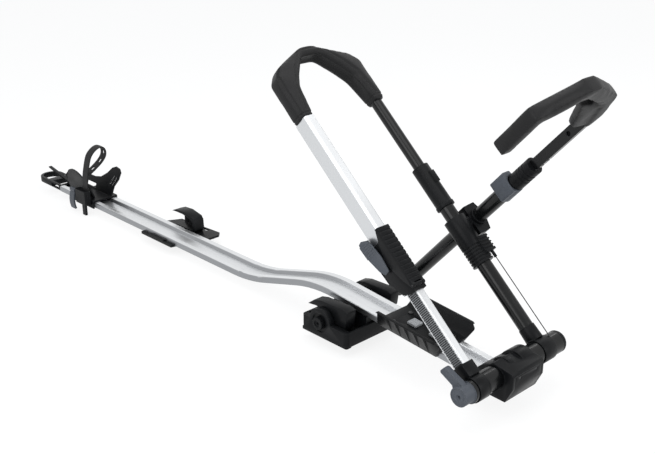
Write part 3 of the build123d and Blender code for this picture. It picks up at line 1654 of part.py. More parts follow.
with BuildPart() as release_lever:
    with BuildSketch(side_plane(-leg_side - release_width / 2)):
        with BuildLine():
            Polyline(*placed(release_shares, (release_pivot - release_boss, -release_deep),
                             (release_length, release_height)), close=True)
        make_face()
        with Locations((release_pivot, -release_pivot_depth)):
            Circle(release_pin_radius + turning_gap, mode=Mode.SUBTRACT)
    extrude(amount=release_width)
    with BuildSketch(hoop_face(-release_deep)):
        with Locations((release_top - release_rib_pitch * release_rib_count / 2, -leg_side)):
            with GridLocations(release_rib_pitch, 0, release_rib_count, 1):
                Rectangle(release_rib_pitch / 2, release_width)
    extrude(amount=-release_rib_depth, mode=Mode.SUBTRACT)
finish(release_lever, "release_lever")

# Hook arm: sleeve on the pivot bolt, straight tube, foot cap and grooved collar
sleeve_shares = [
    (0, 0), (0, 0.95), (0.80, 0.985), (0.90, 0.82), (0.975, 0.35), (0.80, 0.03), (0.43, 0),
]
sleeve_corner = (sleeve_inner - arm_side, -sleeve_half)
sleeve_size = (sleeve_outer - sleeve_inner, 2 * sleeve_half)

with BuildPart() as arm_sleeve:
    with BuildSketch(arm_section(-sleeve_foot)):
        with BuildLine():
            Polyline(*placed(sleeve_shares, sleeve_corner, sleeve_size), close=True)
        make_face()
    extrude(amount=sleeve_foot + sleeve_top)
    with BuildSketch(arm_section(sleeve_top)):
        Circle(sleeve_ring_radius)
    extrude(amount=sleeve_ring_length)
    with BuildSketch(arm_section(-sleeve_foot)):
        Circle(arm_radius)
    extrude(amount=sleeve_foot + sleeve_top + sleeve_ring_length, mode=Mode.SUBTRACT)
    with BuildSketch(side_plane(sleeve_inner)):
        with Locations((arm_t, 0)):
            Circle(arm_bolt_radius + turning_gap)
    extrude(amount=arm_radius, mode=Mode.SUBTRACT)
finish(arm_sleeve, "arm_sleeve")

button_middle = (button_foot + button_top) / 2

with BuildPart() as arm_tube:
    with BuildSketch(arm_section(-arm_foot)):
        Circle(arm_radius)
        Circle(arm_radius - arm_wall, mode=Mode.SUBTRACT)
    extrude(amount=arm_foot + arm_top)
    with BuildSketch(side_plane(sleeve_inner)):
        with Locations((arm_t, 0)):
            Circle(arm_bolt_radius + turning_gap)
    extrude(amount=arm_radius, mode=Mode.SUBTRACT)
    with BuildSketch(leg_section(arm_t - arm_radius, arm_side)):
        with Locations((button_middle, 0)):
            Circle(button_pin_radius + sliding_gap)
    extrude(amount=arm_radius, mode=Mode.SUBTRACT)
finish(arm_tube, "arm_tube")

with BuildPart() as arm_foot_cap:
    with BuildSketch(arm_section(-arm_foot - arm_cap_length)):
        Circle(arm_radius)
    extrude(amount=arm_cap_length)
    with BuildSketch(arm_section(-arm_foot)):
        Circle(arm_radius - arm_wall)
    extrude(amount=arm_cap_plug)
finish(arm_foot_cap, "arm_foot_cap")

with BuildPart() as arm_collar:
    with BuildSketch(arm_section(collar_foot)):
        Circle(collar_radius)
    extrude(amount=collar_top - collar_foot)
    for index in range(collar_groove_count):
        with BuildSketch(arm_section(arm_top - collar_groove_pitch * (index + 1))):
            Circle(collar_radius)
            Circle(collar_radius - collar_groove, mode=Mode.SUBTRACT)
        extrude(amount=collar_groove_pitch / 2, mode=Mode.SUBTRACT)
    with BuildSketch(arm_section(collar_foot)):
        Circle(arm_radius)
    extrude(amount=arm_top - collar_foot, mode=Mode.SUBTRACT)
    with BuildSketch(arm_section(collar_foot)):
        Rectangle(bar_width + 2 * sliding_gap, bar_depth + 2 * sliding_gap)
    extrude(amount=collar_top - collar_foot, mode=Mode.SUBTRACT)
finish(arm_collar, "arm_collar")

# Thumb button: a ring round the arm whose pin enters a notch of the bar
ring_radius = arm_radius + sliding_gap
pin_start = arm_t - arm_radius - button_wall
pin_length = arm_radius + button_wall - bar_depth / 2 - 2 * sliding_gap

with BuildPart() as hook_button:
    with BuildSketch(arm_section(button_foot)):
        with Locations((0, 0), (0, button_stroke)):
            Circle(ring_radius + button_wall)
        with Locations((-ring_radius - button_wall, -ring_radius)):
            RectangleRounded(button_pad_width, ring_radius + button_pad, button_round, align=(Align.MIN, Align.MIN))
        with Locations((0, 0), (0, button_stroke)):
            Circle(ring_radius, mode=Mode.SUBTRACT)
    extrude(amount=button_top - button_foot)
    with BuildSketch(leg_section(pin_start, arm_side)):
        with Locations((button_middle, 0)):
            Circle(button_pin_radius)
    extrude(amount=pin_length)
finish(hook_button, "hook_button")

# Flat bar that carries the hook pad, notched on one edge
with BuildPart() as hook_bar:
    with BuildSketch(arm_section(bar_foot)):
        Rectangle(bar_width, bar_depth)
    extrude(amount=bar_top - bar_foot)
    with BuildSketch(side_plane(arm_side - bar_width / 2)):
        with Locations((arm_t, bar_hole_place)):
            Circle(bar_hole_radius)
        with Locations(*[(arm_t - bar_depth / 2, button_middle + bar_notch_pitch * index)
                         for index in range(bar_notch_count)]):
            Circle(bar_notch_radius)
    extrude(amount=bar_width, mode=Mode.SUBTRACT)
finish(hook_bar, "hook_bar")

# Hook pad: a band bent over the top of the wheel, with a web to the bar
hook_reach = hook_corner - hook_tip
hook_spread = hook_near + hook_far
hook_shape = [
    (0, 0), (0.68, 0), (1, 0.36), (1, 0.47), (0.94, 0.55), (0.64, 0.87), (0.19, 1), (0.05, 0.90),
    (0.46, 0.78), (0.73, 0.51), (0.79, 0.43), (0.78, 0.36), (0.56, 0.10), (0.01, 0.10),
]

with BuildPart() as hook_pad:
    with BuildSketch(leg_section(arm_t - hook_half_depth, 0)):
        with BuildLine():
            FilletPolyline(*placed(hook_shape, (hook_tip, -hook_near), (hook_reach, hook_spread)),
                           radius=hook_round / 2, close=True)
        make_face()
    extrude(amount=2 * hook_half_depth)
    with BuildSketch(leg_section(arm_t - hook_half_depth, 0)):
        with BuildLine():
            Polyline(
                (hook_web, arm_side - hook_web_half),
                (hook_web, arm_side + hook_web_half),
                (hook_end, hook_far - hook_round),
                (hook_end + hook_band, arm_side - hook_band),
                close=True,
            )
        make_face()
    extrude(amount=2 * hook_half_depth)
    with BuildSketch(arm_section(hook_web)):
        Rectangle(bar_width, bar_depth)
    extrude(amount=bar_top - hook_web, mode=Mode.SUBTRACT)
finish(hook_pad, "hook_pad")
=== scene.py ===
from math import cos, radians, sin

import bpy
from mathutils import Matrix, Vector


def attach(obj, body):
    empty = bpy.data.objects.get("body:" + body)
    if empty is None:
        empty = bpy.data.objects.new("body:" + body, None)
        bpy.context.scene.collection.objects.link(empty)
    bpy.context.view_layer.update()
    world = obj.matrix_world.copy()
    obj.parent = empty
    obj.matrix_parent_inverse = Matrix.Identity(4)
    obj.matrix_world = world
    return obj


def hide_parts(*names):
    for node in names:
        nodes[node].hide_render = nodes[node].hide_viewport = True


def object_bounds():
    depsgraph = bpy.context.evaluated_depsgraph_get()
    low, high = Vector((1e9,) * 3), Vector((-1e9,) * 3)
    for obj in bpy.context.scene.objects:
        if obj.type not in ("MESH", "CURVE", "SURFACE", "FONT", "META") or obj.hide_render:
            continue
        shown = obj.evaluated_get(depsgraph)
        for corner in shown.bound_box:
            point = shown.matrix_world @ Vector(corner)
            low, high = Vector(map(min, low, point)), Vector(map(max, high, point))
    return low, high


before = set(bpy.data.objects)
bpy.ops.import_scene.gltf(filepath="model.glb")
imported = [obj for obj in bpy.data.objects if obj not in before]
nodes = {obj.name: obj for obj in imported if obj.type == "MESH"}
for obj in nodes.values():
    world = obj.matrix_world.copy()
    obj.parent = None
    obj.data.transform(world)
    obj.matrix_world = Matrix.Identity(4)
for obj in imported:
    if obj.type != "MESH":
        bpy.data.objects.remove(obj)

cad_box = [list(corner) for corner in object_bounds()]

# Camera: a long lens in front of the near side, a little above the hoop, looking back
# along the rail, so that the wheel tray shows between the legs of the hoop.
camera_data = bpy.data.cameras.new("photo_camera")
camera = bpy.data.objects.new("photo_camera", camera_data)
bpy.context.scene.collection.objects.link(camera)
camera.location = (1.3353, -1.3624, 1.0)
camera.rotation_euler = (radians(67.76), 0, radians(46.2))
camera_data.lens = 56.06
camera_data.sensor_width = 36
camera_data.clip_end = 50
bpy.context.scene.camera = camera
bpy.context.scene.view_settings.view_transform = "Standard"


# Studio: a white floor under the carrier and a white room, lit from above by soft boxes.
# The camera and glossy skins see both as white, and the floor still shows a soft shadow.
def linear(code):
    """An sRGB hex value as the linear colour that the shader takes."""
    shares = [int(code[place:place + 2], 16) / 255 for place in (1, 3, 5)]
    return [share / 12.92 if share <= 0.04045 else ((share + 0.055) / 1.055) ** 2.4
            for share in shares] + [1]


def fresh_tree(holder):
    """The emptied node tree of a material or a world."""
    holder.use_nodes = True
    holder.node_tree.nodes.clear()
    return holder.node_tree


def add_node(tree, kind, settings=(), links=()):
    """One node in a tree, with its own settings, socket values and incoming links."""
    made = tree.nodes.new(kind)
    for name, value in dict(settings).items():
        if hasattr(made, name) and name not in made.inputs:
            setattr(made, name, value)
        else:
            made.inputs[name].default_value = value
    for name, source in dict(links).items():
        tree.links.new(source, made.inputs[name])
    return made


def calculate(tree, operation, *values):
    """A node that works out one number from sockets and plain values."""
    made = add_node(tree, "ShaderNodeMath", {"operation": operation})
    for socket, value in zip(made.inputs, values):
        if isinstance(value, float):
            socket.default_value = value
        else:
            tree.links.new(value, socket)
    return made.outputs[0]


def seen_directly(tree):
    """1 for a ray from the camera or off a glossy surface, and 0 for any other."""
    rays = add_node(tree, "ShaderNodeLightPath")
    return calculate(tree, "MAXIMUM", rays.outputs["Is Camera Ray"], rays.outputs["Is Glossy Ray"])


def blend_shaders(tree, share, low, high, output):
    """Mix two shaders by a share, and lead the blend to the tree's output."""
    blend = add_node(tree, "ShaderNodeMixShader", {}, {"Fac": share})
    tree.links.new(low.outputs[0], blend.inputs[1])
    tree.links.new(high.outputs[0], blend.inputs[2])
    add_node(tree, output, {}, {"Surface": blend.outputs[0]})


bpy.ops.object.select_all(action="DESELECT")
bpy.ops.mesh.primitive_plane_add(size=30, location=(0, 0, cad_box[0][2] - 0.001))
floor = bpy.context.object
floor.name = "studio_floor"
paper = bpy.data.materials.new("matt_white_paper")
paper_tree = fresh_tree(paper)
paper_glow = calculate(paper_tree, "MULTIPLY", seen_directly(paper_tree), 0.8)
matt = add_node(paper_tree, "ShaderNodeBsdfDiffuse", {"Color": linear("#f7f7f7")})
bright = add_node(paper_tree, "ShaderNodeEmission", {"Color": linear("#ffffff"), "Strength": 1.05})
blend_shaders(paper_tree, paper_glow, matt, bright, "ShaderNodeOutputMaterial")
floor.data.materials.append(paper)

world = bpy.data.worlds.new("soft_white")
bpy.context.scene.world = world
sky_tree = fresh_tree(world)
dim = add_node(sky_tree, "ShaderNodeBackground", {"Color": linear("#e8ecf0"), "Strength": 0.75})
white = add_node(sky_tree, "ShaderNodeBackground", {"Color": linear("#ffffff"), "Strength": 1.0})
blend_shaders(sky_tree, seen_directly(sky_tree), dim, white, "ShaderNodeOutputWorld")


def hang_lamp(name, place, turn, power, width, height=None):
    """An area lamp: a square one, or a strip if it is given a height."""
    lamp = bpy.data.lights.new(name, "AREA")
    lamp.energy = power
    lamp.size = width
    if height:
        lamp.shape = "RECTANGLE"
        lamp.size_y = height
    holder = bpy.data.objects.new(name, lamp)
    bpy.context.scene.collection.objects.link(holder)
    holder.location = place
    holder.rotation_euler = turn


hang_lamp("overhead_box", (0.2, -0.3, 2.6), (0, 0, 0), 26, 2.2)
hang_lamp("near_box", (0.4, -2.6, 1.6), (radians(62), 0, radians(8)), 22, 1.8)
hang_lamp("front_box", (2.6, 0.6, 1.5), (radians(65), 0, radians(105)), 20, 1.5)

# Two long strips, one on the near side towards the rear and one behind the carrier,
# draw the bright lines that follow the round tubes and the moulded edges.
strip_target = Vector((0.1, 0, 0.2))
for strip, strip_place, strip_power in (("left_strip", (-0.9, -1.5, 1.9), 7),
                                        ("back_strip", (-0.3, 1.6, 2.0), 5)):
    strip_turn = (strip_target - Vector(strip_place)).to_track_quat("-Z", "Y").to_euler()
    hang_lamp(strip, strip_place, strip_turn, strip_power, 0.22, 2.2)


# Rail and tubes: extruded aluminium, satin anodised in natural silver. The drawing
# leaves fine lines along the length, which stretch the highlights across them.
def dress(material, *names):
    """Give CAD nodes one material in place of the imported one."""
    for name in names:
        nodes[name].data.materials.clear()
        nodes[name].data.materials.append(material)


def mix_colours(tree, share, low, high):
    """A blend of two colours, each an sRGB hex value or the socket that gives it."""
    mix = add_node(tree, "ShaderNodeMix", {"data_type": "RGBA"})
    tree.links.new(share, mix.inputs["Factor"])
    for socket, colour in ((mix.inputs[6], low), (mix.inputs[7], high)):
        if isinstance(colour, str):
            socket.default_value = linear(colour)
        else:
            tree.links.new(colour, socket)
    return mix.outputs[2]


def map_range(tree, value, low, high, to_low, to_high):
    """A socket's value, moved from one range to another and kept inside it."""
    made = add_node(tree, "ShaderNodeMapRange", {"From Min": low, "From Max": high,
                                                 "To Min": to_low, "To Max": to_high},
                    {"Value": value})
    return made.outputs[0]


def noise(tree, place, scale, detail):
    """Drifting values over the surface, 0 to 1, at a scale of patches per metre."""
    made = add_node(tree, "ShaderNodeTexNoise", {"Scale": scale, "Detail": detail},
                    {"Vector": place})
    return made.outputs["Fac"]


def finish_material(tree, settings, links):
    """The surface shader of a material, led to its output."""
    shade = add_node(tree, "ShaderNodeBsdfPrincipled", settings, links)
    add_node(tree, "ShaderNodeOutputMaterial", {}, {"Surface": shade.outputs[0]})


def anodised(name, lean, painted_wall_shade, light, dark):
    """Aluminium whose grain runs along a piece that leans back by some degrees."""
    material = bpy.data.materials.new(name)
    tree = fresh_tree(material)
    place = add_node(tree, "ShaderNodeTexCoord")
    # Lines are 0.4 mm apart in the metal; they are drawn 2 mm apart, so that they show
    turned = add_node(tree, "ShaderNodeMapping", {"Rotation": (0, radians(-lean), 0)},
                      {"Vector": place.outputs["Object"]})
    along = add_node(tree, "ShaderNodeMapping", {"Scale": (3, 500, 500)},
                     {"Vector": turned.outputs[0]})
    grain = noise(tree, along.outputs[0], 1.0, 3.0)
    cloud = noise(tree, place.outputs["Object"], 9.0, 2.0)
    tint = mix_colours(tree, grain, dark, light)
    # The side walls, which face across the carrier, get a darker colour than the tops: painted
    # shade on the walls
    facing = add_node(tree, "ShaderNodeSeparateXYZ", {}, {"Vector": place.outputs["Normal"]})
    sideways_share_for_shade = calculate(tree, "ABSOLUTE", facing.outputs["Y"])
    side = map_range(tree, sideways_share_for_shade, 0.25, 0.8, 0, 1)
    rim = add_node(tree, "ShaderNodeBevel", {"samples": 4, "Radius": 0.0012})
    lines = add_node(tree, "ShaderNodeBump", {"Strength": 0.012, "Distance": 0.0003},
                     {"Height": grain, "Normal": rim.outputs[0]})
    finish_material(tree, {"Metallic": 1.0},
                    {"Base Color": mix_colours(tree, side, tint, painted_wall_shade),
                     "Roughness": map_range(tree, cloud, 0.3, 0.7, 0.29, 0.41),
                     "Normal": lines.outputs[0]})
    return material


leg_lean = 41.8
# The second colour of each is the painted shade of the side walls
dress(anodised("anodised_rail_aluminium", 0, "#96989b", "#e4e6e8", "#d6d8da"), "rail")
dress(anodised("anodised_leg_aluminium", leg_lean, "#d2d4d6", "#e8eaec", "#dcdee0"),
      "inner_tube", "outer_tube")


# Housings, foot, tray and cradle: black glass-filled nylon from a spark-eroded mould.
# The fine leather-like grain keeps it matt, and a paler colour is painted along its rounded edges
# as a highlight.
def moulded(name, low, high, rough, grit=0.7, depth=0.12, gloss=0.22, edge="#303234"):
    """A moulded or coated skin, with one cell of its grain every so many mm, and a painted
    highlight in the edge colour along its rounded edges.
    """
    material = bpy.data.materials.new(name)
    tree = fresh_tree(material)
    place = add_node(tree, "ShaderNodeTexCoord").outputs["Object"]
    grain = add_node(tree, "ShaderNodeTexVoronoi", {"Scale": 1 / (grit * 0.001)}, {"Vector": place})
    cloud = noise(tree, place, 25.0, 4.0)
    tint = mix_colours(tree, cloud, low, high)
    # Moulded edges have a radius near 1 mm, which catches the light; the colour is also painted
    # paler along it, a painted highlight
    rim = add_node(tree, "ShaderNodeBevel", {"samples": 4, "Radius": 0.0013})
    flat = add_node(tree, "ShaderNodeNewGeometry")
    turn = add_node(tree, "ShaderNodeVectorMath", {"operation": "DOT_PRODUCT"})
    tree.links.new(rim.outputs[0], turn.inputs[0])
    tree.links.new(flat.outputs["Normal"], turn.inputs[1])
    painted_edge_highlight = map_range(tree, turn.outputs["Value"], 0.985, 0.85, 0, 0.55)
    skin = add_node(tree, "ShaderNodeBump", {"Strength": depth, "Distance": 0.0004},
                    {"Height": grain.outputs["Distance"], "Normal": rim.outputs[0]})
    finish_material(tree, {"IOR": 1.5, "Specular IOR Level": gloss},
                    {"Base Color": mix_colours(tree, painted_edge_highlight, tint, edge),
                     "Roughness": map_range(tree, cloud, 0.3, 0.7, rough - 0.06, rough + 0.08),
                     "Normal": skin.outputs[0]})
    return material


# The edge colour of each skin is its painted highlight along the rounded edges
black_nylon = moulded("moulded_black_nylon", "#0c0d0e", "#141517", 0.36, gloss=0.11)
dress(black_nylon, "strap_keeper", "foot_saddle", "far_cap", "arm_sleeve", "foot_knob",
      "knob_bush", "pivot_bushes", "arm_foot_cap", "arm_collar", "wheel_cradle", "buckle_body",
      "hub_plug")
grey_nylon = moulded("moulded_grey_nylon", "#42464c", "#4c5057", 0.42, edge="#6d7178")
dress(grey_nylon, "buckle_lever", "release_lever")


# Hoop pad: polyurethane foam moulded over the bend of the hoop, with a grained skin.
# The skin has a crease along its outer corner, a hem at each end where the tubes go
# in, and a raised lip round the opening.
black_rubber = moulded("moulded_black_rubber", "#101011", "#19191a", 0.5, grit=1.1, depth=0.2)
hub_middle = Vector((0.394, 0, 0.059))
leg_way = Vector((-cos(radians(leg_lean)), 0, sin(radians(leg_lean))))
arm_way = Vector((sin(radians(leg_lean)), 0, cos(radians(leg_lean))))


def on_hoop(up, side, out):
    """A place on the hoop, in mm up the legs from the hub, across, and out of its plane."""
    return hub_middle + leg_way * up / 1000 + arm_way * out / 1000 + Vector((0, side / 1000, 0))


def from_hub(point):
    """The same three lengths of a point, in mm."""
    reach = point - hub_middle
    return reach.dot(leg_way) * 1000, point.y * 1000, reach.dot(arm_way) * 1000


def activate(piece, *others):
    """Select a piece, with any others, and make it the active one."""
    bpy.ops.object.select_all(action="DESELECT")
    for part in (*others, piece):
        part.select_set(True)
    bpy.context.view_layer.objects.active = piece


def leave():
    """Go back from editing to object mode."""
    bpy.ops.object.mode_set(mode="OBJECT")


def edit(piece):
    """Open one piece for editing, with nothing selected in it."""
    if bpy.context.object and bpy.context.object.mode == "EDIT":
        leave()
    activate(piece)
    bpy.ops.object.mode_set(mode="EDIT")
    bpy.ops.mesh.select_all(action="DESELECT")


def pick(piece, kind, test):
    """Select the open piece's faces or edges that pass a test of place and direction."""
    bpy.ops.mesh.select_mode(type=kind)
    bpy.ops.mesh.select_all(action="DESELECT")
    leave()
    mesh = piece.data
    if kind == "FACE":
        for face in mesh.polygons:
            face.select = test(face.center, face.normal)
    else:
        for edge in mesh.edges:
            start, end = [mesh.vertices[index].co for index in edge.vertices]
            edge.select = test((start + end) / 2, (start - end).normalized())
    bpy.ops.object.mode_set(mode="EDIT")


def pull(way):
    """Extrude what is selected in the open piece."""
    bpy.ops.mesh.extrude_region_move(TRANSFORM_OT_translate={"value": way})


def turn_outward():
    """Make all faces of the open piece face outward."""
    bpy.ops.mesh.select_all(action="SELECT")
    bpy.ops.mesh.normals_make_consistent(inside=False)


def smooth(piece, angle=35):
    """Shade a piece smooth up to an angle."""
    activate(piece)
    bpy.ops.object.shade_smooth_by_angle(angle=radians(angle))


def finish_with(piece, kind, **settings):
    """Add a modifier to a piece, set it and apply it."""
    activate(piece)
    modifier = piece.modifiers.new(kind.lower(), kind)
    for name, value in settings.items():
        setattr(modifier, name, value)
    bpy.ops.object.modifier_apply(modifier=modifier.name)


def blank(node, name):
    """A piece of its own from a CAD node's shape, with its loose triangles merged."""
    piece = bpy.data.objects.new(name, nodes[node].data.copy())
    bpy.context.scene.collection.objects.link(piece)
    piece.data.materials.clear()
    edit(piece)
    bpy.ops.mesh.select_all(action="SELECT")
    bpy.ops.mesh.remove_doubles(threshold=0.00005)
    bpy.ops.mesh.dissolve_limited(angle_limit=radians(0.5))
    bpy.ops.mesh.select_all(action="DESELECT")
    leave()
    return piece


def foam(piece, cell, rounds, cap):
    """Turn a piece into an even mesh, soften it, and let pressure fill it as its foam does."""
    piece.data.remesh_voxel_size = cell
    activate(piece)
    bpy.ops.object.voxel_remesh()
    finish_with(piece, "SMOOTH", factor=0.5, iterations=rounds)
    before = [point.co.copy() for point in piece.data.vertices]
    cloth = piece.modifiers.new("foam", "CLOTH")
    cloth.settings.use_pressure = True
    cloth.settings.uniform_pressure_force = 4
    cloth.settings.effector_weights.gravity = 0
    settle_frames = 20
    for step in range(1, settle_frames + 1):
        bpy.context.scene.frame_set(step)
    bpy.ops.object.modifier_apply(modifier="foam")
    for point, start in zip(piece.data.vertices, before):
        moved = point.co - start
        if moved.length > cap:
            point.co = start + moved.normalized() * cap
    bpy.context.scene.frame_set(1)
    finish_with(piece, "SMOOTH", factor=0.5, iterations=2)
    finish_with(piece, "SUBSURF", levels=1, render_levels=1)


def from_line(spot, line):
    """How far a spot on a flat lies from a line of straight runs."""
    nearest = 1e9
    for (x, y), (end_x, end_y) in zip(line, line[1:]):
        run_x, run_y = end_x - x, end_y - y
        share = ((spot[0] - x) * run_x + (spot[1] - y) * run_y) / (run_x ** 2 + run_y ** 2)
        share = min(max(share, 0), 1)
        off_x, off_y = spot[0] - x - run_x * share, spot[1] - y - run_y * share
        nearest = min(nearest, (off_x ** 2 + off_y ** 2) ** 0.5)
    return nearest


def dent(gap, width):
    """How deep a groove is at a gap from its middle, as a share of its depth."""
    return max(0, 1 - (gap / width) ** 2)


def trim_hems(piece, height):
    """Cut the open piece off flat across both legs, and close the cuts."""
    bpy.ops.mesh.select_all(action="SELECT")
    bpy.ops.mesh.bisect(plane_co=on_hoop(height, 0, 0), plane_no=leg_way, use_fill=True,
                        clear_inner=True)


# Places up the legs, in mm: where the pad ends, and the groove above its hems
hem_end = 590.5
hem_groove = 598
spare_length = 0.03
hoop_foam = blank("hoop_pad", "hoop_foam_pad")
edit(hoop_foam)
# The ends are drawn out before the foam is softened, so that the cut hems stay full
trim_hems(hoop_foam, hem_end)
pick(hoop_foam, "FACE", lambda place, way: way.dot(leg_way) < -0.9
     and from_hub(place)[0] < hem_end + 1.5)
pull(leg_way * -spare_length)
leave()
foam(hoop_foam, 0.004, 16, 0.004)
edit(hoop_foam)
trim_hems(hoop_foam, hem_end)
leave()
# Lines up the legs and across, in mm: the crease of the near corner and the opening's edge
crease = [(585, -110), (690, -110), (712, -88)]
opening = [(585, -84), (656, -71), (684, -54), (722, -24),
           (722, 24), (684, 54), (656, 71), (585, 87)]
ridge_gap = 13
ways = [point.normal.copy() for point in hoop_foam.data.vertices]
for point, outward in zip(hoop_foam.data.vertices, ways):
    up, side, out = from_hub(point.co)
    front = outward.dot(arm_way)
    gap = from_line((up, side), opening)
    # The groove, and the hems below it, which stand out a little
    depth = 0.0016 * dent(abs(up - hem_groove), 1.8)
    if up < hem_groove:
        depth -= 0.0008
    if side < 0 and front > 0.2:
        depth += 0.0030 * dent(from_line((up, side), crease), 3.4)
    # The opening's wall is hollow between its lips, and deepest away from the hems
    if gap < 8 and abs(front) < 0.6 and up > 600:
        depth += 0.0045 * dent(abs(out - 1), 11) * min(1, (up - 600) / 30)
    # A second groove round the opening leaves a ridge along its edge
    if front > 0.5 and up > 604:
        depth += 0.0022 * dent(abs(gap - ridge_gap), 3.0)
    point.co = point.co - outward * depth
hoop_foam.data.materials.append(black_rubber)
smooth(hoop_foam, 60)
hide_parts("hoop_pad")
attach(hoop_foam, "hoop_upper")


# Hook pad: the same foam moulded round the hook's steel core, as a broad band that is
# bent over the wheel. A thick gusset joins the band to the socket of the bar.
def sheet(name, corners):
    """A flat square sheet with its four corners at places."""
    bpy.ops.object.select_all(action="DESELECT")
    bpy.ops.mesh.primitive_plane_add(size=1, location=(0, 0, 0))
    made = bpy.context.object
    made.name = name
    for point, corner in zip(made.data.vertices, corners):
        point.co = corner
    return made


def weld(piece, *parts):
    """Join parts into a piece."""
    activate(piece, *parts)
    bpy.ops.object.join()


hook_foam = blank("hook_pad", "hook_foam_pad")
gusset = sheet("hook_gusset", [on_hoop(275, side, out) for side, out in (
    (137, 340), (97, 341), (140, 410), (36, 420))])
edit(gusset)
bpy.ops.mesh.select_all(action="SELECT")
pull(leg_way * 0.016)
turn_outward()
leave()
weld(hook_foam, gusset)
foam(hook_foam, 0.0035, 9, 0.003)
hook_foam.data.materials.append(black_rubber)
smooth(hook_foam, 60)
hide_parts("hook_pad")
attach(hook_foam, "hook_top")


# Wheel strap: one moulded rubber strap with a row of slots, looped over the rim of the
# wheel. Its tail comes back down inside the loop and leaves through the buckle.
strap_middle = -0.985
strap_thickness = 0.0034
# The strap's middle line, in mm across and up, from the cradle round to the tail
strap_line = [(-43, 54), (-42.5, 63), (-41.5, 72), (-40.5, 81), (-39, 91), (-37, 101),
              (-34.5, 111), (-32, 121), (-29, 131), (-25.5, 140), (-20, 148), (-12, 155),
              (-3, 160.5), (6, 163), (14, 161.5), (20, 156), (22.5, 148), (22.5, 139.5),
              (19, 131.5), (13, 124.5), (6, 118), (-1.5, 112.5), (-10, 107), (-18.5, 101.5),
              (-27, 96.5), (-34.5, 92)]


def on_strap(side, height, along=0):
    """A place by the strap's middle line, in mm across the carrier, up and along it."""
    return Vector((strap_middle + along / 1000, side / 1000, height / 1000))


strap = sheet("rubber_wheel_strap", [on_strap(-43, height, along) for along, height in (
    (-13, 46), (13, 46), (-13, 54), (13, 54))])
strap_runs = list(zip(strap_line, strap_line[1:]))
edit(strap)
for start, end in strap_runs:
    pick(strap, "EDGE", lambda place, way: abs(way.x) > 0.9
         and (place - on_strap(*start)).length < 0.002)
    bpy.ops.mesh.extrude_edges_move(TRANSFORM_OT_translate={
        "value": on_strap(*end) - on_strap(*start)})
for edge_of_slot in (-0.003, 0.003):
    bpy.ops.mesh.select_all(action="SELECT")
    bpy.ops.mesh.bisect(plane_co=(strap_middle + edge_of_slot, 0, 0), plane_no=(1, 0, 0))
# Every third run of the falling part has a slot
slots = [(on_strap(*start) + on_strap(*end)) / 2 for start, end in strap_runs[13:25:3]]
pick(strap, "FACE", lambda place, way: any((place - slot).length < 0.0008 for slot in slots))
bpy.ops.mesh.delete(type="FACE")
turn_outward()
leave()
finish_with(strap, "SOLIDIFY", thickness=strap_thickness, offset=0)
finish_with(strap, "BEVEL", width=0.0006, segments=1, limit_method="ANGLE", angle_limit=radians(50))
finish_with(strap, "SUBSURF", levels=2, render_levels=2)
strap.data.materials.append(black_rubber)
smooth(strap, 40)
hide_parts("wheel_strap")
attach(strap, "cradle")


# Tray pads: two blocks of light grey rubber, pushed into the floor of the tray, where
# the front tyre stands. Ribs moulded across them grip it.
def soften(piece, radius, angle):
    """Round a piece's edges where its faces turn by more than an angle."""
    finish_with(piece, "BEVEL", width=radius, segments=2, limit_method="ANGLE",
                angle_limit=radians(angle))


tray_blocks = blank("tray_pads", "grey_tray_blocks")
# Middles of the grooves between the ribs, in mm along the carrier, and of both blocks
tray_grooves = (155, 161, 167, 173, 211, 217, 223, 229)
rear_block, front_block = 0.1636, 0.2197
shorter, narrower = 0.8, 0.58
edit(tray_blocks)
pick(tray_blocks, "FACE", lambda place, way: way.z > 0.9)
bpy.ops.mesh.inset(thickness=0.0022, depth=0.0008)
for groove in tray_grooves:
    for offset in (-0.9, 0.9):
        pick(tray_blocks, "FACE", lambda place, way: way.z > 0.9)
        bpy.ops.mesh.bisect(plane_co=((groove + offset) / 1000, 0, 0), plane_no=(1, 0, 0))
pick(tray_blocks, "FACE", lambda place, way: way.z > 0.9 and abs(place.y) < 0.017 and any(
    abs(place.x * 1000 - groove) < 0.5 for groove in tray_grooves))
pull((0, 0, -0.0012))
leave()
for point in tray_blocks.data.vertices:
    middle = rear_block if point.co.x < (rear_block + front_block) / 2 else front_block
    point.co = Vector((middle + (point.co.x - middle) * shorter, point.co.y * narrower, point.co.z))
soften(tray_blocks, 0.0007, 35)
# The edge colour is the painted highlight along the blocks' rounded edges
tray_blocks.data.materials.append(moulded("moulded_grey_rubber", "#8e9092", "#a2a4a6", 0.7,
                                          grit=1.1, depth=0.2, edge="#b4b6b8"))
smooth(tray_blocks)
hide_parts("tray_pads")
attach(tray_blocks, "frame")


# Foot pad: a sheet of soft rubber under the foot, moulded with shallow ribs across, so
# that the foot doesn't slide on the roof bar.
foot_rubber = blank("foot_pad", "ribbed_foot_rubber")
rib_start, rib_width, rib_cuts = -58, 4, 30
edit(foot_rubber)
for index in range(rib_cuts):
    bpy.ops.mesh.select_all(action="SELECT")
    bpy.ops.mesh.bisect(plane_co=((rib_start + rib_width * index) / 1000, 0, 0), plane_no=(1, 0, 0))
pick(foot_rubber, "FACE", lambda place, way: way.z < -0.9 and abs(place.x) < 0.0575
     and (place.x * 1000 - rib_start) // rib_width % 2 == 0)
bpy.ops.mesh.inset(thickness=0.0004)
pull((0, 0, 0.0008))
leave()
foot_rubber.data.materials.append(black_rubber)
smooth(foot_rubber)
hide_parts("foot_pad")
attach(foot_rubber, "frame")


# The claws' yoke and the rear clamp's plate: pressed steel, powder coated in black. The
# coat is thin, with a fine texture from its baking.
dress(moulded("black_powder_coat", "#0c0d0e", "#131415", 0.34,
              grit=0.5, depth=0.1, gloss=0.12),
      "claw_yoke", "clamp_plate")


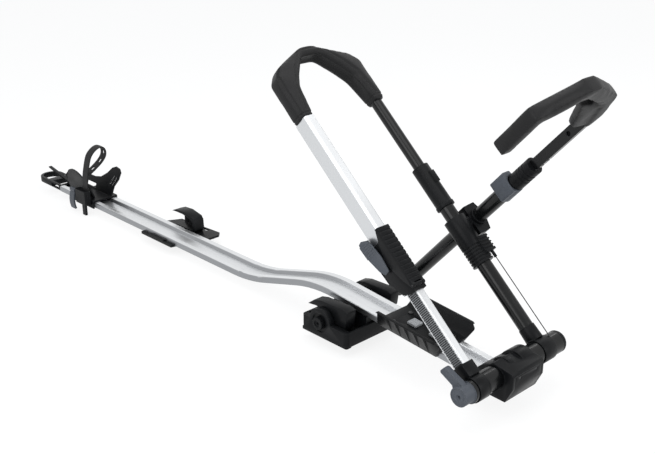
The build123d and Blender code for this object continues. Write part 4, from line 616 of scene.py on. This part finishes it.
# Cross tube, far leg, arm and hook bar: round steel and flat bar, powder coated in
# satin black. The coat levels out smooth, with only a faint orange peel.
dress(moulded("satin_black_powder_coat", "#08090a", "#0e0f10", 0.2,
              grit=1.5, depth=0.04, gloss=0.28),
      "cross_tube", "far_lower_tube", "far_upper_tube", "arm_tube", "hook_bar")


# Screws, pins and nuts: turned steel, zinc plated. The plating is bright but uneven, so
# its roughness drifts from place to place.
zinc = bpy.data.materials.new("zinc_plated_steel")
zinc_tree = fresh_tree(zinc)
zinc_place = add_node(zinc_tree, "ShaderNodeTexCoord").outputs["Object"]
zinc_wear = map_range(zinc_tree, noise(zinc_tree, zinc_place, 160.0, 3.0), 0, 1, 0.22, 0.45)
finish_material(zinc_tree, {"Base Color": linear("#c2c4c4"), "Metallic": 1.0},
                {"Roughness": zinc_wear})
dress(zinc, "foot_bolts", "knob_spindle", "knob_nut", "clamp_nut", "clamp_screws", "arm_bolt",
      "buckle_pin")


# The other screws and pins, and the release cable: blackened steel, a thin oxide that
# is smooth and a little oily.
dress(moulded("blackened_steel", "#0f1011", "#1b1c1e", 0.32, grit=0.4, depth=0.05, gloss=0.5),
      "tray_screws", "cover_screws", "leg_screws", "handle_pin", "release_pin", "release_cable")


# Toothed strip on the near leg: black nylon rack, 35 teeth of 7.4 mm. A pale line is painted
# every 3.7 mm, a painted highlight along both edges of each tooth.
rack_pitch = 0.0037
rack_nylon = bpy.data.materials.new("rack_nylon_painted_highlights")
rack_tree = fresh_tree(rack_nylon)
rack_place = add_node(rack_tree, "ShaderNodeTexCoord").outputs["Object"]
rack_turn = add_node(rack_tree, "ShaderNodeMapping", {"Rotation": (0, radians(-leg_lean), 0)},
                     {"Vector": rack_place})
rack_way = add_node(rack_tree, "ShaderNodeSeparateXYZ", {}, {"Vector": rack_turn.outputs[0]})
rack_count = calculate(rack_tree, "DIVIDE", rack_way.outputs["X"], rack_pitch)
rack_share = calculate(rack_tree, "FRACT", rack_count)
# The line takes 0.2 of the pitch to each side of its middle
rack_painted_highlight = calculate(rack_tree, "COMPARE", rack_share, 0.5, 0.2)
rack_wear = map_range(rack_tree, noise(rack_tree, rack_place, 300.0, 3.0), 0, 1, 0.34, 0.5)
finish_material(rack_tree, {"IOR": 1.5, "Specular IOR Level": 0.25},
                {"Base Color": mix_colours(rack_tree, rack_painted_highlight, "#0f1011", "#808285"),
                 "Roughness": rack_wear})
dress(rack_nylon, "gear_rack")


# Release paddle: grey nylon cheek of the ratchet's release lever. It lies outside the
# near cheek of the ratchet, and a bridge under the leg joins it to the lever.
def outline(name, corners, start, width):
    """A slab with its corners in the hoop's plane, from a start across to the near side."""
    bpy.ops.object.select_all(action="DESELECT")
    bpy.ops.mesh.primitive_circle_add(vertices=len(corners), radius=1, fill_type="NGON",
                                      location=(0, 0, 0))
    made = bpy.context.object
    made.name = name
    for point, (up, out) in zip(made.data.vertices, corners):
        point.co = on_hoop(up, start, out)
    edit(made)
    bpy.ops.mesh.select_all(action="SELECT")
    pull((0, -width / 1000, 0))
    turn_outward()
    leave()
    return made


paddle = outline("release_paddle", ((331, -33), (333, -24), (328, -12), (314, -4), (286, 1),
                                    (256, -2), (254, -15), (266, -24), (294, -32), (318, -36)),
                 -119.4, 3.2)
edit(paddle)
pick(paddle, "FACE", lambda place, way: way.y < -0.9)
bpy.ops.mesh.inset(thickness=0.0025, depth=-0.0008)
leave()
soften(paddle, 0.0009, 35)
ridge = outline("paddle_ridge", ((300, -27.5), (300, -7), (298, -7), (298, -27.5)), -121.6, 1.0)
bridge = outline("paddle_bridge", ((327, -39), (327, -32), (298, -30), (298, -37)), -106, 14.5)
soften(bridge, 0.0015, 35)
ridges = [ridge]
for step in (4.5, 9, 13.5, 18, 22.5):
    copied = bpy.data.objects.new("paddle_ridge", ridge.data.copy())
    bpy.context.scene.collection.objects.link(copied)
    for point in copied.data.vertices:
        point.co = point.co + leg_way * step / 1000
    ridges.append(copied)
weld(paddle, *ridges, bridge)
paddle.data.materials.append(grey_nylon)
smooth(paddle)
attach(paddle, "ratchet_release")


# Leg feet: black nylon sockets that hold the two legs to the cross tube. Each is a thin
# sleeve round the tube with a short neck, and the leg is pressed and screwed into it.
def turned_bar(name, radius, length, middle, sides=72):
    """A round bar that lies across the carrier, about its middle."""
    bpy.ops.object.select_all(action="DESELECT")
    bpy.ops.mesh.primitive_cylinder_add(vertices=sides, radius=radius, depth=length,
                                        location=middle, rotation=(radians(90), 0, 0))
    made = bpy.context.object
    made.name = name
    bpy.ops.object.transform_apply(location=True, rotation=True, scale=True)
    return made


def on_axis(side):
    """A place on the cross tube's axis, in mm across the carrier."""
    return hub_middle + Vector((0, side / 1000, 0))


sleeve_radius, sleeve_wall = 0.0242, 0.0019
for node, low, high in (("leg_clamp", -113, -84), ("leg_socket", 80, 116)):
    sleeve = turned_bar(node + "_sleeve", sleeve_radius, (high - low) / 1000,
                        on_axis((high + low) / 2))
    edit(sleeve)
    pick(sleeve, "FACE", lambda place, way: abs(way.y) > 0.9)
    bpy.ops.mesh.inset(thickness=sleeve_wall)
    pick(sleeve, "FACE", lambda place, way: abs(way.y) > 0.9
         and (place - on_axis(place.y * 1000)).length < 0.001)
    bpy.ops.mesh.bridge_edge_loops()
    leave()
    soften(sleeve, 0.001, 40)
    if node == "leg_clamp":
        neck = outline("neck", ((20, -18.5), (46, -17.5), (46, 17.5), (20, 18.5)), -83.5, 30)
    else:
        # The far neck is a hollow tube, because the upper tube slides down into it. Its
        # middle is 36 mm up the leg and 98 mm across, and its top is drawn in by 6 percent
        bpy.ops.object.select_all(action="DESELECT")
        bpy.ops.mesh.primitive_cylinder_add(vertices=48, radius=0.0175, depth=0.030,
                                            location=(0, 0, 0))
        neck = bpy.context.object
        for point in neck.data.vertices:
            taper = 1 - 0.06 * (point.co.z > 0)
            point.co = on_hoop(36 + point.co.z * 1000, 98 + point.co.y * 1000 * taper,
                               point.co.x * 1000 * taper)
        edit(neck)
        turn_outward()
        pick(neck, "FACE", lambda place, way: abs(way.dot(leg_way)) > 0.9)
        bpy.ops.mesh.delete(type="FACE")
        leave()
        finish_with(neck, "SOLIDIFY", thickness=0.0022, offset=-1)
    soften(neck, 0.0014, 35)
    weld(sleeve, neck)
    sleeve.data.materials.append(black_nylon)
    smooth(sleeve)
    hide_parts(node)
    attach(sleeve, "hoop_lower")


# Hub lever: grey nylon knob on the end of the cross tube, with a dished face, a screw
# hole and a slim blade. Turning it frees the hoop.
knob = turned_bar("hub_lever_knob", 0.0185, 0.024, on_axis(-134))
edit(knob)
pick(knob, "FACE", lambda place, way: way.y < -0.9)
# Rings of the face from its rim inward: how wide each is, and how far it then rises
for width, rise in ((0.0022, 0), (0.0006, -0.0012), (0.0048, 0), (0.0005, 0.0008), (0.0052, 0),
                    (0.0005, -0.0012), (0.0016, 0), (0.0004, -0.004)):
    bpy.ops.mesh.inset(thickness=width)
    if rise:
        bpy.ops.transform.translate(value=(0, -rise, 0))
# The back steps out to a wider collar against the cross tube
pick(knob, "FACE", lambda place, way: way.y > 0.9)
pull((0, 0.0005, 0))
bpy.ops.transform.resize(value=(1.13, 1, 1.13), center_override=on_axis(-121.5))
pull((0, 0.0055, 0))
leave()
blade = outline("hub_lever_blade", ((10, -14), (24, -5.5), (40, -9.5), (54, -13), (57, -10),
                                    (57, 2), (54, 5.5), (38, 9.5), (20, 15), (6, 16)), -127, 12)
edit(blade)
pick(blade, "FACE", lambda place, way: way.y < -0.9)
bpy.ops.mesh.inset(thickness=0.003)
bpy.ops.transform.translate(value=(0, 0.001, 0))
leave()
for part in (knob, blade):
    soften(part, 0.0012, 40)
weld(knob, blade)
knob.data.materials.append(grey_nylon)
smooth(knob)
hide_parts("hub_lever")
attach(knob, "hub_release")


# Moulded housings, and claws with a moulded skin: black and grey nylon, with a radius
# on the outer edges, so that they leave the mould cleanly and don't cut the hand.
for node, body, material, radius in (
    ("pivot_housing", "frame", black_nylon, 0.0030),
    ("hook_button", "hook_thumb", grey_nylon, 0.0026),
    ("foot_base", "frame", black_nylon, 0.0016),
    ("wheel_tray", "frame", black_nylon, 0.0009),
    ("front_claw_near", "front_claws", black_nylon, 0.0016),
    ("front_claw_far", "front_claws", black_nylon, 0.0016),
    ("rear_claw", "rear_hook", black_nylon, 0.0012),
    ("arm_bracket", "hoop_lower", black_nylon, 0.0007),
    ("ratchet_body", "hoop_upper", black_nylon, 0.0012),
    ("pump_handle", "pump", black_nylon, 0.0009),
    ("far_collar", "hoop_lower", black_nylon, 0.0012),
    ("housing_cover", "frame", black_nylon, 0.0012),
    ("end_cap", "frame", black_nylon, 0.0010),
):
    moulding = blank(node, node + "_moulding")
    soften(moulding, radius, 40)
    moulding.data.materials.append(material)
    smooth(moulding)
    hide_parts(node)
    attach(moulding, body)


# Bar bush: black nylon bush in the hole of the hook's bar. Its near end has a thin rim
# round a blind hole, 6 mm deep.
# Its place on the hoop, in mm
bush_up, bush_side, bush_out = 283, 143, 301
bush = turned_bar("bar_hole_bush", 0.0049, 0.0106, on_hoop(bush_up, bush_side, bush_out), 32)
edit(bush)
pick(bush, "FACE", lambda place, way: abs(way.y) > 0.9)
bpy.ops.mesh.inset(thickness=0.0008)
pick(bush, "FACE", lambda place, way: way.y < -0.9
     and (place - on_hoop(bush_up, place.y * 1000, bush_out)).length < 0.002)
bpy.ops.transform.translate(value=(0, 0.006, 0))
leave()
bush.data.materials.append(black_nylon)
smooth(bush)
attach(bush, "hook_top")
